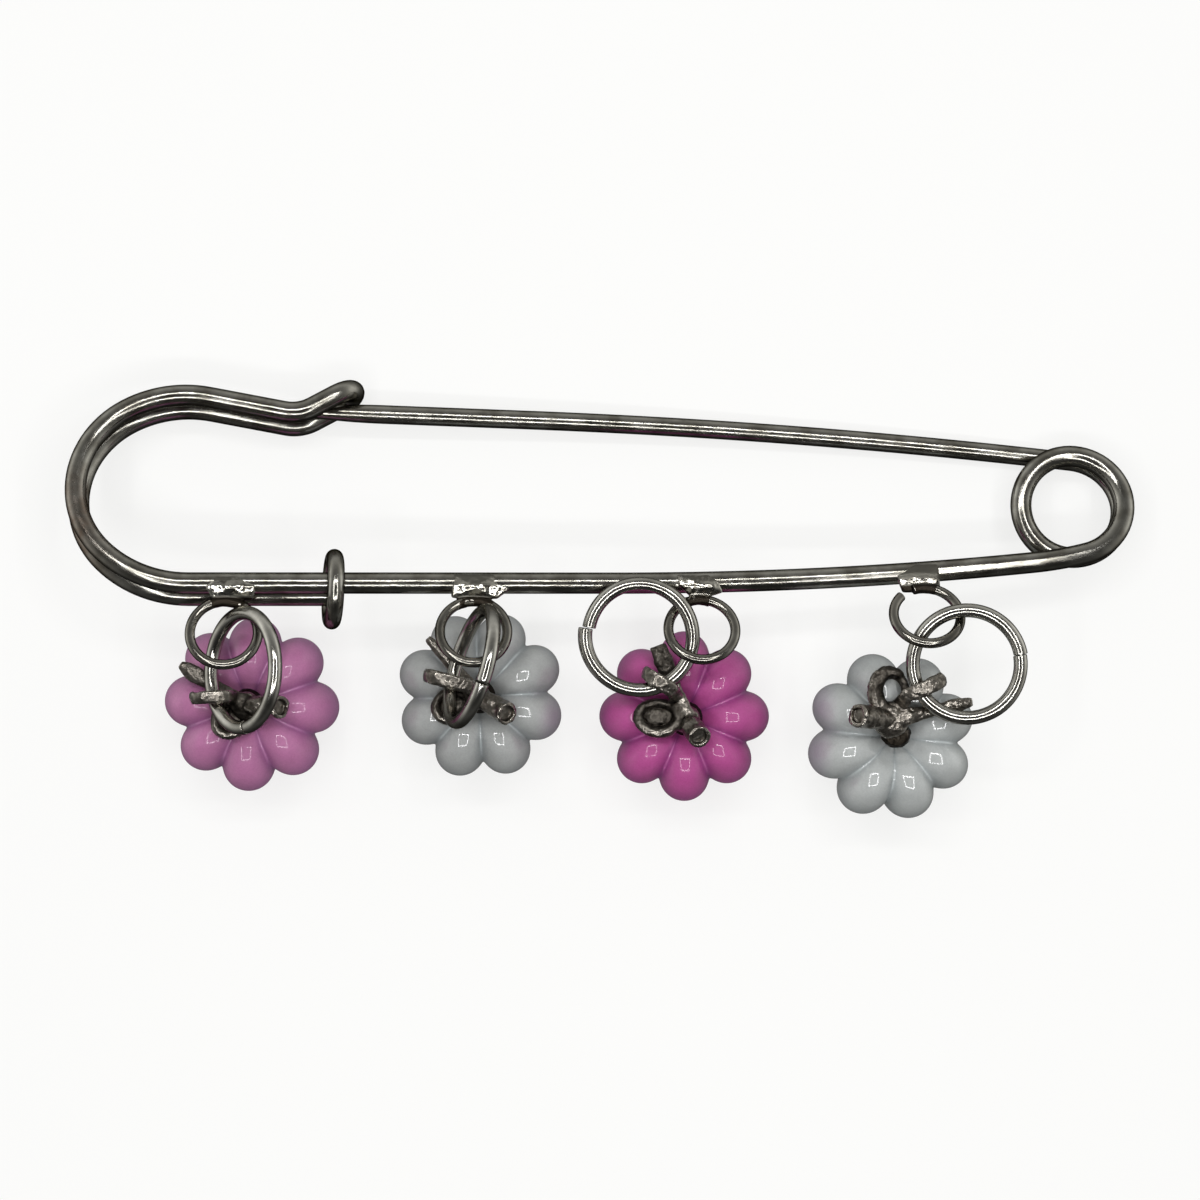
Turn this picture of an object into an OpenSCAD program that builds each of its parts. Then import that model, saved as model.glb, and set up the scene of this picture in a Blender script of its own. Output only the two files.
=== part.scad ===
// Charm pin: a bent-wire kilt pin that lies on a surface with four pumpkin charms on jump rings.
// Millimetres, +Z up. The pin lies tilted, with its bar held up by the charms.

/* [Pin wire] */
// Diameter of the bar, coil, clasp and hook wire
wire_d = 1.49; // [1.3:0.01:1.49]
// Diameter of the arm, which is ground a little thinner
arm_d = 1.34; // [1.1:0.01:1.34]
// Length of the ground point
point_l = 7; // [4:0.5:8]
// Length of the arm's straight stretch, point included
straight_l = 17.5; // [14:0.5:18]
// Radius of the gentle bow between the arm's straight stretch and the coil
arm_bow_r = 465; // [440:5:490]
// How far the arm and the rear half of the coil lie behind the front wire
coil_drop = 1.57; // [1.5:0.01:1.62]

/* [Pose on the surface] */
// Tilt of the pin about its length, bar side up
tilt = 21; // [20:0.5:22]
// Dip of the coil end
dip = 3.3; // [3.1:0.1:3.5]
// Height of the bar's axis above the surface, at the middle of the pin
bar_z = 7.68; // [7.6:0.02:7.8]

/* [Rings] */
// Outer diameter of the small rings soldered under the bar
eye_od = 5.34; // [5.2:0.02:5.4]
// Wire of the small rings
eye_wire = 0.7; // [0.6:0.02:0.72]
// Distance from the bar's axis to a small ring's centre
eye_drop = 3.7; // [3.6:0.05:3.8]
// Wire of the jump rings
jump_wire = 0.97; // [0.8:0.01:0.98]
// Wire of the collar
collar_wire = 1.2; // [1:0.05:1.25]
// Inner diameter of the collar
collar_id = 3.2; // [3.15:0.05:3.3]

/* [Pumpkins] */
// Height of a pumpkin
pumpkin_h = 7.4; // [7:0.1:7.5]
// Number of lobes
lobes = 8; // [8]

/* [Hidden] */
frame_shift = [-0.25, -0.08, 0];

// Wire right of the bar's straight part: bend radius, turn, rings of the mesh
right_bends = [[278, 6.1, 4], [25.2, 8.9, 3], [3.94, 75, 7], [3.63, 90, 8]];
// Wire left of it, up to the hook: bend radius (0 for a straight), turn or length, rings
left_bends = [[0, 29.45, 1], [8.5, -45, 6], [6.72, -48, 6], [6.82, -56, 6], [8.1, -42.5, 5],
    [0, 5.4, 1], [2.8, 42, 5], [0, 1.85, 1]];
// Where the straight part of the bar ends, and which way the wire leaves it
right_start = [1, 0, 0];
left_start = [1, 0, 180];
coil_r = 3.58;
coil_rings = 15;
rear_coil_r = 3.72;
arm_leave = 7;
arm_bow = 4.8;
// The doubled rear strand lies behind the front one: depth at the bar and growth with height
rear_depth = 1.5;
rear_growth = 0.1;
rear_shift = -0.33;
rear_slope = 0.04;
rear_end = -18;
hook_reach = 1.5;
wire_sides = 12;

// Small rings: place along the bar, tilt, start of the wire, degrees of wire, place of the solder
eyes = [[-25.9, 22, 0, 360, 0.3], [-8.8, 25, 0, 360, 0.45], [6.95, 28, 0, 360, -0.2],
    [22.6, 35, -225, 335, -0.5]];
eye_r = (eye_od - eye_wire) / 2;
collar_at = -18.5;
collar_lean = 7;

// Jump rings: centre x, y, z, centre-line radius, tilt about x, then about y, gap direction, gap
jumps = [
    [-24.37, -4.83, 11.5, 3.93, -3, -50, 282, 1.5],
    [-8.74, -4.53, 12.35, 3.94, -16, -72, 345, 2],
    [2.74, -2.6, 8.94, 3.67, 2, -1.5, 170, 3.6],
    [25.35, -4.47, 8.8, 3.72, 2, -5, 10, 1.6]];

// Pumpkins: centre x, y, radius, turn of the lobes, tilt about x, then about y
pumpkins = [
    [-24.6, -7.4, 6.15, -3, 0, 0],
    [-8.45, -6.75, 5.97, 25, 0, 0],
    [5.95, -8.25, 6.0, 0, 0, 0],
    [20.5, -9.65, 5.98, 17, 0, 4.5]];

// Stem caps: leaf direction and half width, stem direction and reach, root of the curl (reach,
// direction), end of the curl (reach, direction), height and half width of the curl, loop (reach,
// direction, half width of its rim, 1 with a floor), shift of the crown
stems = [
    [151, 0.6, 357, 2.2, 1.25, 144, 3.73, 170, 6.35, 0.46, 1.13, 221, 0.3, 1, [0, 0]],
    [134, 0.5, 327, 2.0, 0.94, 126, 3.8, 156.5, 6.2, 0.5, 1.71, 200, 0.3, 1, [0, 0]],
    [111, 0.85, 306, 1.6, 1.85, 124, 4.32, 138, 6, 0.51, 1.94, 178, 0.32, 1, [0, 0]],
    [21, 0.5, 157, 2.3, 2, 72, 4.17, 44, 5.6, 0.58, 2.55, 100, 0.42, 0, [-0.65, 0.5]]];

// Steps along bends
// State is [u, v, heading]; a row with radius 0 is a straight of the given length
function step_on(s, r, turn) = r == 0
    ? [s.x + turn * cos(s.z), s.y + turn * sin(s.z), s.z]
    : let (k = sign(turn), h = s.z + turn)
        [s.x + k * r * (sin(h) - sin(s.z)), s.y + k * r * (cos(s.z) - cos(h)), h];
function run_on(rows, s, i = 0) = i == len(rows)
    ? []
    : let (r = rows[i])
        concat([for (j = [1:r[2]]) step_on(s, r[0], r[1] * j / r[2])],
            run_on(rows, step_on(s, r[0], r[1]), i + 1));
function last(list) = list[len(list) - 1];
function backwards(list) = [for (i = [len(list) - 1:-1:0]) list[i]];
function smooth(t) = t * t * (3 - 2 * t);
function at_depth(states, n) = [for (s = states) [s.x, s.y, n]];
function rear_of(s) = [s.x, s.y * (1 + rear_slope) + rear_shift, -rear_depth - rear_growth * s.y];

// Paths of the wire in the plane of the pin: along the bar, across it, and towards the viewer
left_run = run_on(left_bends, left_start);
right_run = run_on(right_bends, right_start);
hook_end = last(left_run);
coil_top = last(right_run);
coil_low = step_on(coil_top, coil_r, 180);
hook_front = [hook_end.x, hook_end.y, 0];
hook_rear = rear_of(hook_end);
hook_dir = [cos(hook_end.z), sin(hook_end.z), 0];
hook_turn = [for (a = [30:30:150]) hook_front + hook_reach * sin(a) * hook_dir
    + (1 - cos(a)) / 2 * (hook_rear - hook_front)];
coil_turn = [for (j = [1:coil_rings]) let (t = j / coil_rings, s = step_on(coil_top, coil_r, 180 * t))
    [s.x, s.y, -coil_drop * smooth(t)]];
frame_path = concat([rear_of([rear_end, 0])], [for (s = left_run) rear_of(s)], backwards(hook_turn),
    at_depth(backwards(left_run), 0), [[left_start.x, left_start.y, 0]], at_depth(right_run, 0),
    coil_turn);

arm_gap = 4;
arm_first = step_on([coil_low.x, coil_low.y, 0], rear_coil_r, arm_gap);
arm_bends = [[rear_coil_r, 180 - arm_leave - arm_gap, 16], [arm_bow_r, arm_bow, 5]];
arm_run = run_on(arm_bends, arm_first);
arm_out = last(arm_run);
arm_overlap = 0.4;
arm_path = concat([[arm_first.x, arm_first.y, -coil_drop]], at_depth(arm_run, -coil_drop),
    at_depth([step_on(arm_out, 0, arm_overlap)], -coil_drop));

// Height of the bar's axis line across the pin's plane, at a place along it
function bar_v(u) = u < right_start.x
    ? 0
    : right_bends[0][0] - sqrt(pow(right_bends[0][0], 2) - pow(u - right_start.x, 2));

// Sweeps: a ring of points at each place on the path, carried along without twist
function unit(v) = v / norm(v);
function tangent(p, i) = unit(p[min(i + 1, len(p) - 1)] - p[max(i - 1, 0)]);
function carried(p, up, i = 0) = i == len(p)
    ? []
    : let (t = tangent(p, i), n = unit(up - (up * t) * t)) concat([n], carried(p, n, i + 1));
function at(value, i) = is_list(value) ? value[i] : value;
module sweep(path, half_w, half_t, sides, up) {
    normals = carried(path, up);
    points = [for (i = [0:len(path) - 1]) let (n = normals[i], s = cross(tangent(path, i), n))
        for (j = [0:sides - 1]) let (a = (j + 0.5) * 360 / sides)
            path[i] + at(half_w, i) * cos(a) * s + at(half_t, i) * sin(a) * n];
    walls = [for (i = [0:len(path) - 2]) for (j = [0:sides - 1])
        let (k = (j + 1) % sides, a = i * sides, b = a + sides) each
            [[a + j, a + k, b + k], [a + j, b + k, b + j]]];
    first = [for (j = [sides - 1:-1:0]) j];
    end = [for (j = [0:sides - 1]) (len(path) - 1) * sides + j];
    polyhedron(points, concat(walls, [first, end]));
}

module pin_pose() {
    translate(frame_shift + [0, 1.13, bar_z]) rotate([-tilt, dip, 0]) children();
}

// A small ring hangs below the bar on its own tilt
module eye_pose(e) {
    pin_pose() translate([e[0], bar_v(e[0]), 0]) rotate([tilt - e[1], 0, 0])
        translate([0, -eye_drop, 0]) children();
}

module solder(e) {
    blob = [[-1.75, 0.35, 0.4], [1.85, 0.3, 0.35], [-1.35, -1.3, 0.2], [1.3, -1.35, 0.25],
        [-0.2, 0.1, 0.85], [0.5, -0.9, 0.55]];
    pin_pose() translate([e[0] + e[4], bar_v(e[0]), 0]) {
        hull() for (p = blob) translate(p) sphere(r = 0.32, $fn = 6);
        hull() for (s = [-1, 1]) translate([s * 1.2 - e[4], -1.35, 0.1]) sphere(r = 0.45, $fn = 8);
    }
}

module pin_frame() color("dimgray") {
    pin_pose() sweep(frame_path, wire_d / 2, wire_d / 2, wire_sides, [0, 0, 1]);
    for (e = eyes) {
        eye_pose(e) rotate([0, 0, e[2]]) rotate_extrude(angle = e[3], $fn = 26)
            translate([eye_r, 0]) circle(d = eye_wire, $fn = 8);
        solder(e);
    }
}

module pin_arm() color("gray") pin_pose() {
    sweep(arm_path, arm_d / 2 - 0.01, arm_d / 2 - 0.01, wire_sides, [0, 0, 1]);
    translate([arm_out.x, arm_out.y, -coil_drop]) rotate([0, 90, arm_out.z])
        rotate_extrude($fn = 48)
            polygon([[0, 0], [arm_d / 2, 0], [arm_d / 2, straight_l - point_l], [0.12, straight_l],
                [0, straight_l]]);
}

module collar() color("silver") pin_pose()
    translate([collar_at, rear_shift / 2, -rear_depth / 2]) rotate([0, 90 + collar_lean, 0])
        rotate_extrude($fn = 48) translate([(collar_id + collar_wire) / 2, 0])
            circle(d = collar_wire, $fn = 24);

module jump_ring(j) color("silver") translate(frame_shift + [j[0], j[1], j[2]])
    rotate([j[4], j[5], 0])
    rotate([0, 0, j[6] + j[7] / 2]) rotate_extrude(angle = 360 - j[7], $fn = 64)
        translate([j[3], 0]) circle(d = jump_wire, $fn = 24);

// Pumpkin: lobes round in plan, with grooves that run into a bowl at both poles. A place on its
// section is a share from -1, the lower pole, over 0, the equator, to 1, the upper pole.
lobe_out = 0.71;
lobe_round = 0.29;
groove_depth = 1.2;
inner_r = 0.56;
crest_share = 0.8125;
rim_turn = 128;
rim_reach = inner_r + (1 - inner_r) * cos(rim_turn);
bowl_drop = 0.25;
lobe_steps = 8;
rows = 14;
function plan_r(a) = let (b = (a + 180 / lobes + 360) % (360 / lobes) - 180 / lobes)
    lobe_out * cos(b) + sqrt(pow(lobe_round, 2) - pow(lobe_out * sin(b), 2));
function section(share) = let (turn = abs(share) / crest_share)
    turn <= 1
    ? [inner_r + (1 - inner_r) * cos(turn * rim_turn), sign(share) * sin(turn * rim_turn)]
    : let (left = (1 - abs(share)) / (1 - crest_share))
        [rim_reach * left, sign(share) * (sin(rim_turn) - bowl_drop * (1 - left * left))];
function skin(p, a, share) = let (s = section(share), r = plan_r(a))
    [p[2] * r * s.x * cos(a), p[2] * r * s.x * sin(a),
        pumpkin_h / 2 * s.y * (1 - groove_depth * (1 - r) * sqrt(s.x))];

module pumpkin_pose(p) {
    lean = max(abs(p[4]), abs(p[5]));
    lift = pumpkin_h / 2 * cos(lean) + inner_r * p[2] * sin(lean);
    translate(frame_shift + [p[0], p[1], lift]) rotate([p[4], p[5], 0]) children();
}

module pumpkin(p) {
    cols = lobes * lobe_steps;
    points = concat([skin(p, 0, -1)],
        [for (k = [1:rows - 1]) for (m = [0:cols - 1]) skin(p, m * 360 / cols, 2 * k / rows - 1)],
        [skin(p, 0, 1)]);
    top = len(points) - 1;
    walls = [for (k = [0:rows - 3]) for (m = [0:cols - 1])
        let (a = 1 + k * cols, b = a + cols, n = (m + 1) % cols) each
            [[a + m, b + m, b + n], [a + m, b + n, a + n]]];
    low = [for (m = [0:cols - 1]) [0, 1 + m, 1 + (m + 1) % cols]];
    high = [for (m = [0:cols - 1]) [top, top - cols + (m + 1) % cols, top - cols + m]];
    pumpkin_pose(p) rotate([0, 0, p[3]]) polyhedron(points, concat(low, walls, high));
}

// Stem cap, heights above the pumpkin's middle
leaf_z = 3.94;
function polar(r, a, z) = [r * cos(a), r * sin(a), z];
function between(a, b, t) = a + (b - a) * t;
module post(heights, radii) {
    sweep([for (z = heights) [0, 0, z]], radii, radii, 10, [1, 0, 0]);
}
module stem(p, s) pumpkin_pose(p) color("gray") {
    shift = s[14];
    crown = [shift.x, shift.y, 0];
    // Base plug in the bowl, with a wider crown over it
    post([2.3, 2.7, 3.1, 3.5, 4], [0.3, 0.85, 1.15, 1.2, 1]);
    translate(crown) {
        post([3.76, 3.95, 4.25], [1.1, 1.3, 0.95]);
        // Hollow stem
        difference() {
            sweep([[0, 0, 4.05], polar(s[3] * 0.4, s[2], 4.45), polar(s[3] * 0.75, s[2], 4.8),
                polar(s[3], s[2], 5.4)], [0.6, 0.75, 0.8, 0.82], [0.6, 0.75, 0.8, 0.82], 10,
                [0, 1, 0]);
            sweep([polar(s[3] * 0.75, s[2], 4.8), polar(s[3], s[2], 5.4),
                polar(s[3] * 1.2, s[2], 6)], 0.5, 0.5, 8, [0, 1, 0]);
        }
        // Leaf over the lobes
        sweep([for (r = [0.4, 1.6, 2.8, 4, 4.9, 5.4]) polar(r, s[0], leaf_z - max(r - 3.8, 0) * 0.1)],
            [0.6, 0.5, s[1] * 0.8, s[1], s[1] * 0.85, 0.25], [0.25, 0.2, 0.18, 0.18, 0.16, 0.08], 8,
            [0, 0, 1]);
        // Curl over the jump ring
        root = polar(s[4], s[5], s[8] - 0.5);
        end = polar(s[6], s[7], s[8]);
        sweep([polar(s[4] * 0.6, s[5], leaf_z), polar(s[4] * 0.85, s[5], 4.8), root,
            between(root, end, 0.35) + [0, 0, 0.3], between(root, end, 0.75) + [0, 0, 0.1],
            end + [0, 0, -0.55], polar(s[6] * 1.03, s[7], leaf_z + 0.4)],
            s[9] * [1, 0.95, 0.95, 1, 1.05, 0.95, 0.6], [0.3, 0.25, 0.24, 0.23, 0.23, 0.22, 0.2], 8,
            [cos(s[7] + 180), sin(s[7] + 180), 0.2]);
        // Oval loop beside the leaf, its ends inside the crown
        rotate([0, 0, s[11]]) translate([s[10], 0, leaf_z + 0.08]) {
            sweep([for (a = [-160:20:160]) [1.42 * cos(a), 1.1 * sin(a), 0]], s[12], 0.27, 6,
                [0, 0, 1]);
            if (s[13] == 1) translate([0, 0, -0.25]) linear_extrude(0.2)
                polygon([for (a = [0:30:330]) [1.4 * cos(a), 1.05 * sin(a)]]);
        }
    }
}

pin_frame();
pin_arm();
collar();
jump_ring(jumps[0]);  // jump_ring_1
jump_ring(jumps[1]);  // jump_ring_2
jump_ring(jumps[2]);  // jump_ring_3
jump_ring(jumps[3]);  // jump_ring_4
color("orchid") pumpkin(pumpkins[0]);  // pumpkin_1
color("lightgray") pumpkin(pumpkins[1]);  // pumpkin_2
color("mediumvioletred") pumpkin(pumpkins[2]);  // pumpkin_3
color("lightgray") pumpkin(pumpkins[3]);  // pumpkin_4
stem(pumpkins[0], stems[0]);  // stem_1
stem(pumpkins[1], stems[1]);  // stem_2
stem(pumpkins[2], stems[2]);  // stem_3
stem(pumpkins[3], stems[3]);  // stem_4
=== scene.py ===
"""Charm pin brooch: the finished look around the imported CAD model.

A kilt pin bent from one wire lies on a pale surface, with four pumpkin charms on jump rings.
Every piece is worked in millimetres and written to its mesh in metres.
"""

import sys

import logging
import math
from dataclasses import dataclass, field
from enum import Enum
from typing import Any, Iterable, Mapping, Sequence

import bmesh
import bpy
from bmesh.types import BMEdge, BMesh, BMFace, BMVert
from mathutils import Matrix, Vector, noise
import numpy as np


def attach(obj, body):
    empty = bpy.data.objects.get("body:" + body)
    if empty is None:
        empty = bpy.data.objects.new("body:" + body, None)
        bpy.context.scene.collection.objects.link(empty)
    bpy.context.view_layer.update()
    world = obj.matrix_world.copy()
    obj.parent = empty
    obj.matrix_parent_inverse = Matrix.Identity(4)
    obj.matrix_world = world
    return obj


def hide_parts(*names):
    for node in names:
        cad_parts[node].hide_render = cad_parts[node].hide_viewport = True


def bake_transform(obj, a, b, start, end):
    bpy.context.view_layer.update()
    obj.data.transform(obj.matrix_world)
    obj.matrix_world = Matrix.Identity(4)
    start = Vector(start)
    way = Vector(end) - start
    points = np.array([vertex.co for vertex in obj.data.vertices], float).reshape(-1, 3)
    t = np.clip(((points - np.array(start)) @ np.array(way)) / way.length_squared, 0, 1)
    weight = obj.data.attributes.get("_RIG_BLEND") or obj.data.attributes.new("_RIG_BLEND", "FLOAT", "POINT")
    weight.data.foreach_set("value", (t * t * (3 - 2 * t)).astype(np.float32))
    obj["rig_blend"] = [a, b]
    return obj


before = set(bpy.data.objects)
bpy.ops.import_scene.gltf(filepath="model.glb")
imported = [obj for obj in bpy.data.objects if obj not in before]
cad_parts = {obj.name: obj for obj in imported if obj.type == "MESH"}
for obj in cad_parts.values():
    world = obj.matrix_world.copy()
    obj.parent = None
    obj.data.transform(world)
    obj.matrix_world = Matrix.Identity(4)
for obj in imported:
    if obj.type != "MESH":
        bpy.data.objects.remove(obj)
log = logging.getLogger("charm_pin")

Colour = tuple[float, float, float, float]
Material = bpy.types.Material
Node = bpy.types.Node
Object = bpy.types.Object
Socket = bpy.types.NodeSocket
Tree = bpy.types.NodeTree

MM = 0.001
TAU = 2 * math.pi
# Where the values of a noise texture mostly lie
NOISE_SPAN = (0.3, 0.7)
# From the middle of the bar's plan to the middle of the object's base
FRAME_SHIFT = Vector((-0.25, -0.08, 0))


class Body(Enum):
    """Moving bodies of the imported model."""

    FRAME = "frame"
    ARM = "arm"


class Slot(Enum):
    """Material slots of the record."""

    PIN_WIRE = "pin_wire"
    RING_WIRE = "ring_wire"
    CAST_METAL = "cast_metal"
    ORCHID = "orchid_resin"
    MAGENTA = "magenta_resin"
    PEARL = "pearl_resin"


# Small sums


def unit(value: float) -> float:
    """Returns a value held between 0 and 1."""
    return min(max(value, 0.0), 1.0)


def past(value: float, start: float, width: float) -> float:
    """Returns how far a value is past a start, as a share of a width, held between 0 and 1."""
    return unit((value - start) / width)


def smooth(share: float) -> float:
    """Returns a share eased at both ends."""
    return share * share * (3 - 2 * share)


def polar(reach: float, way: float, height: float = 0) -> Vector:
    """Returns a point from its reach, its direction in degrees and its height."""
    return Vector((reach * math.cos(math.radians(way)), reach * math.sin(math.radians(way)), height))


def turned(degrees: float, axis: str) -> Matrix:
    """Returns a turn about a named axis."""
    return Matrix.Rotation(math.radians(degrees), 4, axis)


def leaning(about_x: float, about_y: float) -> Matrix:
    """Returns a turn about X, then about Y, in degrees."""
    return turned(about_y, "Y") @ turned(about_x, "X")


# Colours and nodes


def linear(code: str) -> Colour:
    """Turns an sRGB hex value into linear colour.

    Args:
        code: colour such as "#a0b1c2".

    Returns:
        Red, green, blue and an alpha of 1.
    """
    parts = [int(code[i:i + 2], 16) / 255 for i in (1, 3, 5)]
    return (*[c / 12.92 if c <= 0.04045 else ((c + 0.055) / 1.055) ** 2.4 for c in parts], 1.0)


def per(size_mm: float) -> float:
    """Returns the texture scale at which one feature measures size_mm on Object coordinates."""
    return 1 / (size_mm * MM)


def fill(node: Node, values: Mapping[Any, Any]) -> None:
    """Sets a node's properties and inputs, and links the inputs whose value is a socket.

    Args:
        node: node of a shader tree.
        values: values by property name, or by input name or number.
    """
    for key, value in values.items():
        if isinstance(value, Socket):
            node.id_data.links.new(value, node.inputs[key])
        elif isinstance(key, str) and hasattr(node, key):
            setattr(node, key, value)
        else:
            node.inputs[key].default_value = value


def add(tree: Tree, kind: str, settings: Mapping[Any, Any], *inputs: Any,
        stops: Sequence[tuple[float, Colour]] = ()) -> Any:
    """Adds one shader node with its settings and links.

    Args:
        tree: node tree that gets the node.
        kind: node type after "ShaderNode".
        settings: values or sockets by property name, or by input name or number.
        inputs: values or sockets of the first inputs, in order.
        stops: places and colours of a colour ramp, in order.

    Returns:
        The new node's output sockets.
    """
    made = tree.nodes.new("ShaderNode" + kind)
    fill(made, {**settings, **dict(enumerate(inputs))})
    if stops:
        ramp = made.color_ramp.elements
        for end, (place, colour) in zip(ramp, (stops[0], stops[-1])):
            end.position, end.color = place, colour
        for place, colour in stops[1:-1]:
            ramp.new(place).color = colour
    return made.outputs


@dataclass(frozen=True)
class Finish:
    """A surface finish, which makes its material once.

    Attributes:
        label: name of the material.
        slot: slot of the record that the finish belongs to; not used.
        relief_mm: height of its small relief.
    """

    label: str
    slot: Slot
    relief_mm: float = 0.006

    def material(self) -> Material:
        """Makes this finish's material at the first call.

        Returns:
            The material.
        """
        known = bpy.data.materials.get(self.label)
        if known:
            return known
        made = bpy.data.materials.new(self.label)
        made.use_nodes = True
        tree = made.node_tree
        colour, rough, height = self.surface(tree)
        relief = add(tree, "Bump", {"Strength": 1.0, "Distance": self.relief_mm * MM, "Height": height})[0]
        fill(tree.nodes["Principled BSDF"],
             {"Base Color": colour, "Roughness": rough, "Normal": relief, **self.constants()})
        return made

    def surface(self, tree: Tree) -> tuple[Socket, Socket, Socket]:
        """Builds the nodes of the pattern.

        Args:
            tree: the material's node tree.

        Returns:
            The sockets of colour, roughness and height.
        """
        raise NotImplementedError

    def constants(self) -> dict[str, Any]:
        """Returns the shader's constant values by socket name."""
        return {"Metallic": 1.0}


@dataclass(frozen=True)
class PlatedWire(Finish):
    """Steel wire, drawn through a die, then nickel plated.

    The die leaves fine lines along the wire, which make the reflections of the lamps ragged, and
    the thin plating varies a little in tone and is worn to a dull brown where it was rubbed.

    Attributes:
        tone: colour of the plating.
        tint: colour of the reflections near the edge of the wire.
        dull: tone of the duller patches.
        tarnish: brown of the places where the plating is worn.
        rough: lowest and highest roughness.
        stain_rough: roughness that full wear adds.
        line_mm: width and length of the drawing lines.
        cloud_mm: size of the duller patches.
        speck_mm: size of the specks of wear.
    """

    tone: str = "#a09e97"
    tint: str = "#5c5b57"
    dull: str = "#7b7870"
    tarnish: str = "#6a5244"
    rough: tuple[float, float] = (0.13, 0.26)
    stain_rough: float = 0.22
    line_mm: tuple[float, float] = (0.16, 1.1)
    cloud_mm: float = 1.6
    speck_mm: float = 0.7

    def surface(self, tree: Tree) -> tuple[Socket, Socket, Socket]:
        """Builds the drawing lines along the strand, the cloudy plating and its worn places.

        Args:
            tree: the material's node tree.

        Returns:
            The sockets of colour, roughness and height.
        """
        strand = add(tree, "Attribute", {"attribute_name": "strand"})["Vector"]
        across, along = self.line_mm
        lines = add(tree, "Mapping", {"Scale": (0.5 / across, 0.5 / across, 1 / along)}, strand)[0]
        fine = add(tree, "TexNoise", {"Scale": 1.0, "Detail": 3.0}, lines)[0]
        place = add(tree, "TexCoord", {})["Object"]
        cloud = add(tree, "TexNoise", {"Scale": per(self.cloud_mm), "Detail": 4.0}, place)[0]
        tone = add(tree, "ValToRGB", {}, cloud,
                   stops=((0.35, linear(self.dull)), (0.6, linear(self.tone))))[0]
        worn = add(tree, "Attribute", {"attribute_name": "tarnish"})["Fac"]
        specks = add(tree, "TexNoise", {"Scale": per(self.speck_mm), "Detail": 5.0, "Roughness": 0.7},
                     place)[0]
        dense = add(tree, "MapRange", {}, specks, 0.35, 0.65, 0.3, 1)[0]
        stain = add(tree, "Math", {"operation": "MULTIPLY"}, worn, dense)[0]
        aged = add(tree, "Mix", {"data_type": "RGBA", 6: tone, 7: linear(self.tarnish)}, stain)[2]
        rough = add(tree, "MapRange", {}, fine, *NOISE_SPAN, *self.rough)[0]
        duller = add(tree, "Math", {"operation": "MULTIPLY_ADD"}, stain, self.stain_rough, rough)[0]
        return aged, duller, fine

    def constants(self) -> dict[str, Any]:
        """Returns the shader's constant values by socket name."""
        return {"Metallic": 1.0, "Specular Tint": linear(self.tint)}


@dataclass(frozen=True)
class Solder(Finish):
    """Tin solder, melted on and set: bright and smooth, with dull flux burnt onto its upper side and painted
    shade under it.

    Attributes:
        tone: colour of the clean metal.
        low: colour in the low ripples.
        flux: colour of the burnt flux.
        painted_shade_colour: colour of the painted shade under the blob and round the ring's top.
        rough: lowest and highest roughness.
        ripple_mm: size of the frozen ripples.
        edge_mm: size of the ragged edge of the flux.
        flux_span: where the flux begins and where it is full.
        painted_shade_span: where the painted shade begins and where it is full.
    """

    relief_mm: float = 0.014
    tone: str = "#bfbcb3"
    low: str = "#6f6b63"
    flux: str = "#65635c"
    painted_shade_colour: str = "#302b25"
    rough: tuple[float, float] = (0.16, 0.46)
    ripple_mm: float = 0.6
    edge_mm: float = 0.5
    flux_span: tuple[float, float] = (0.75, 1.05)
    painted_shade_span: tuple[float, float] = (1.1, 1.6)

    def surface(self, tree: Tree) -> tuple[Socket, Socket, Socket]:
        """Builds the frozen ripples, the flux, and the painted shade where the flux attribute passes 1.

        Args:
            tree: the material's node tree.

        Returns:
            The sockets of colour, roughness and height.
        """
        place = add(tree, "TexCoord", {})["Object"]
        ripple = add(tree, "TexNoise", {"Scale": per(self.ripple_mm), "Detail": 2.0, "Distortion": 0.6},
                     place)[0]
        tone = add(tree, "ValToRGB", {}, ripple,
                   stops=((0.36, linear(self.low)), (0.55, linear(self.tone))))[0]
        burnt = add(tree, "Attribute", {"attribute_name": "flux"})["Fac"]
        edge = add(tree, "TexNoise", {"Scale": per(self.edge_mm), "Detail": 3.0}, place)[0]
        ragged = add(tree, "Math", {"operation": "ADD"}, burnt, edge)[0]
        flux = add(tree, "MapRange", {}, ragged, *self.flux_span)[0]
        dulled = add(tree, "Mix", {"data_type": "RGBA", 6: tone, 7: linear(self.flux)}, flux)[2]
        # Painted shade: flux values above 1 darken the blob's underside and the ring's top.
        painted_shade = add(tree, "MapRange", {}, burnt, *self.painted_shade_span)[0]
        dressed = add(tree, "Mix", {"data_type": "RGBA", 6: dulled, 7: linear(self.painted_shade_colour)}, painted_shade)[2]
        rough = add(tree, "MapRange", {}, flux, 0, 1, *self.rough)[0]
        return dressed, rough, ripple


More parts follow.
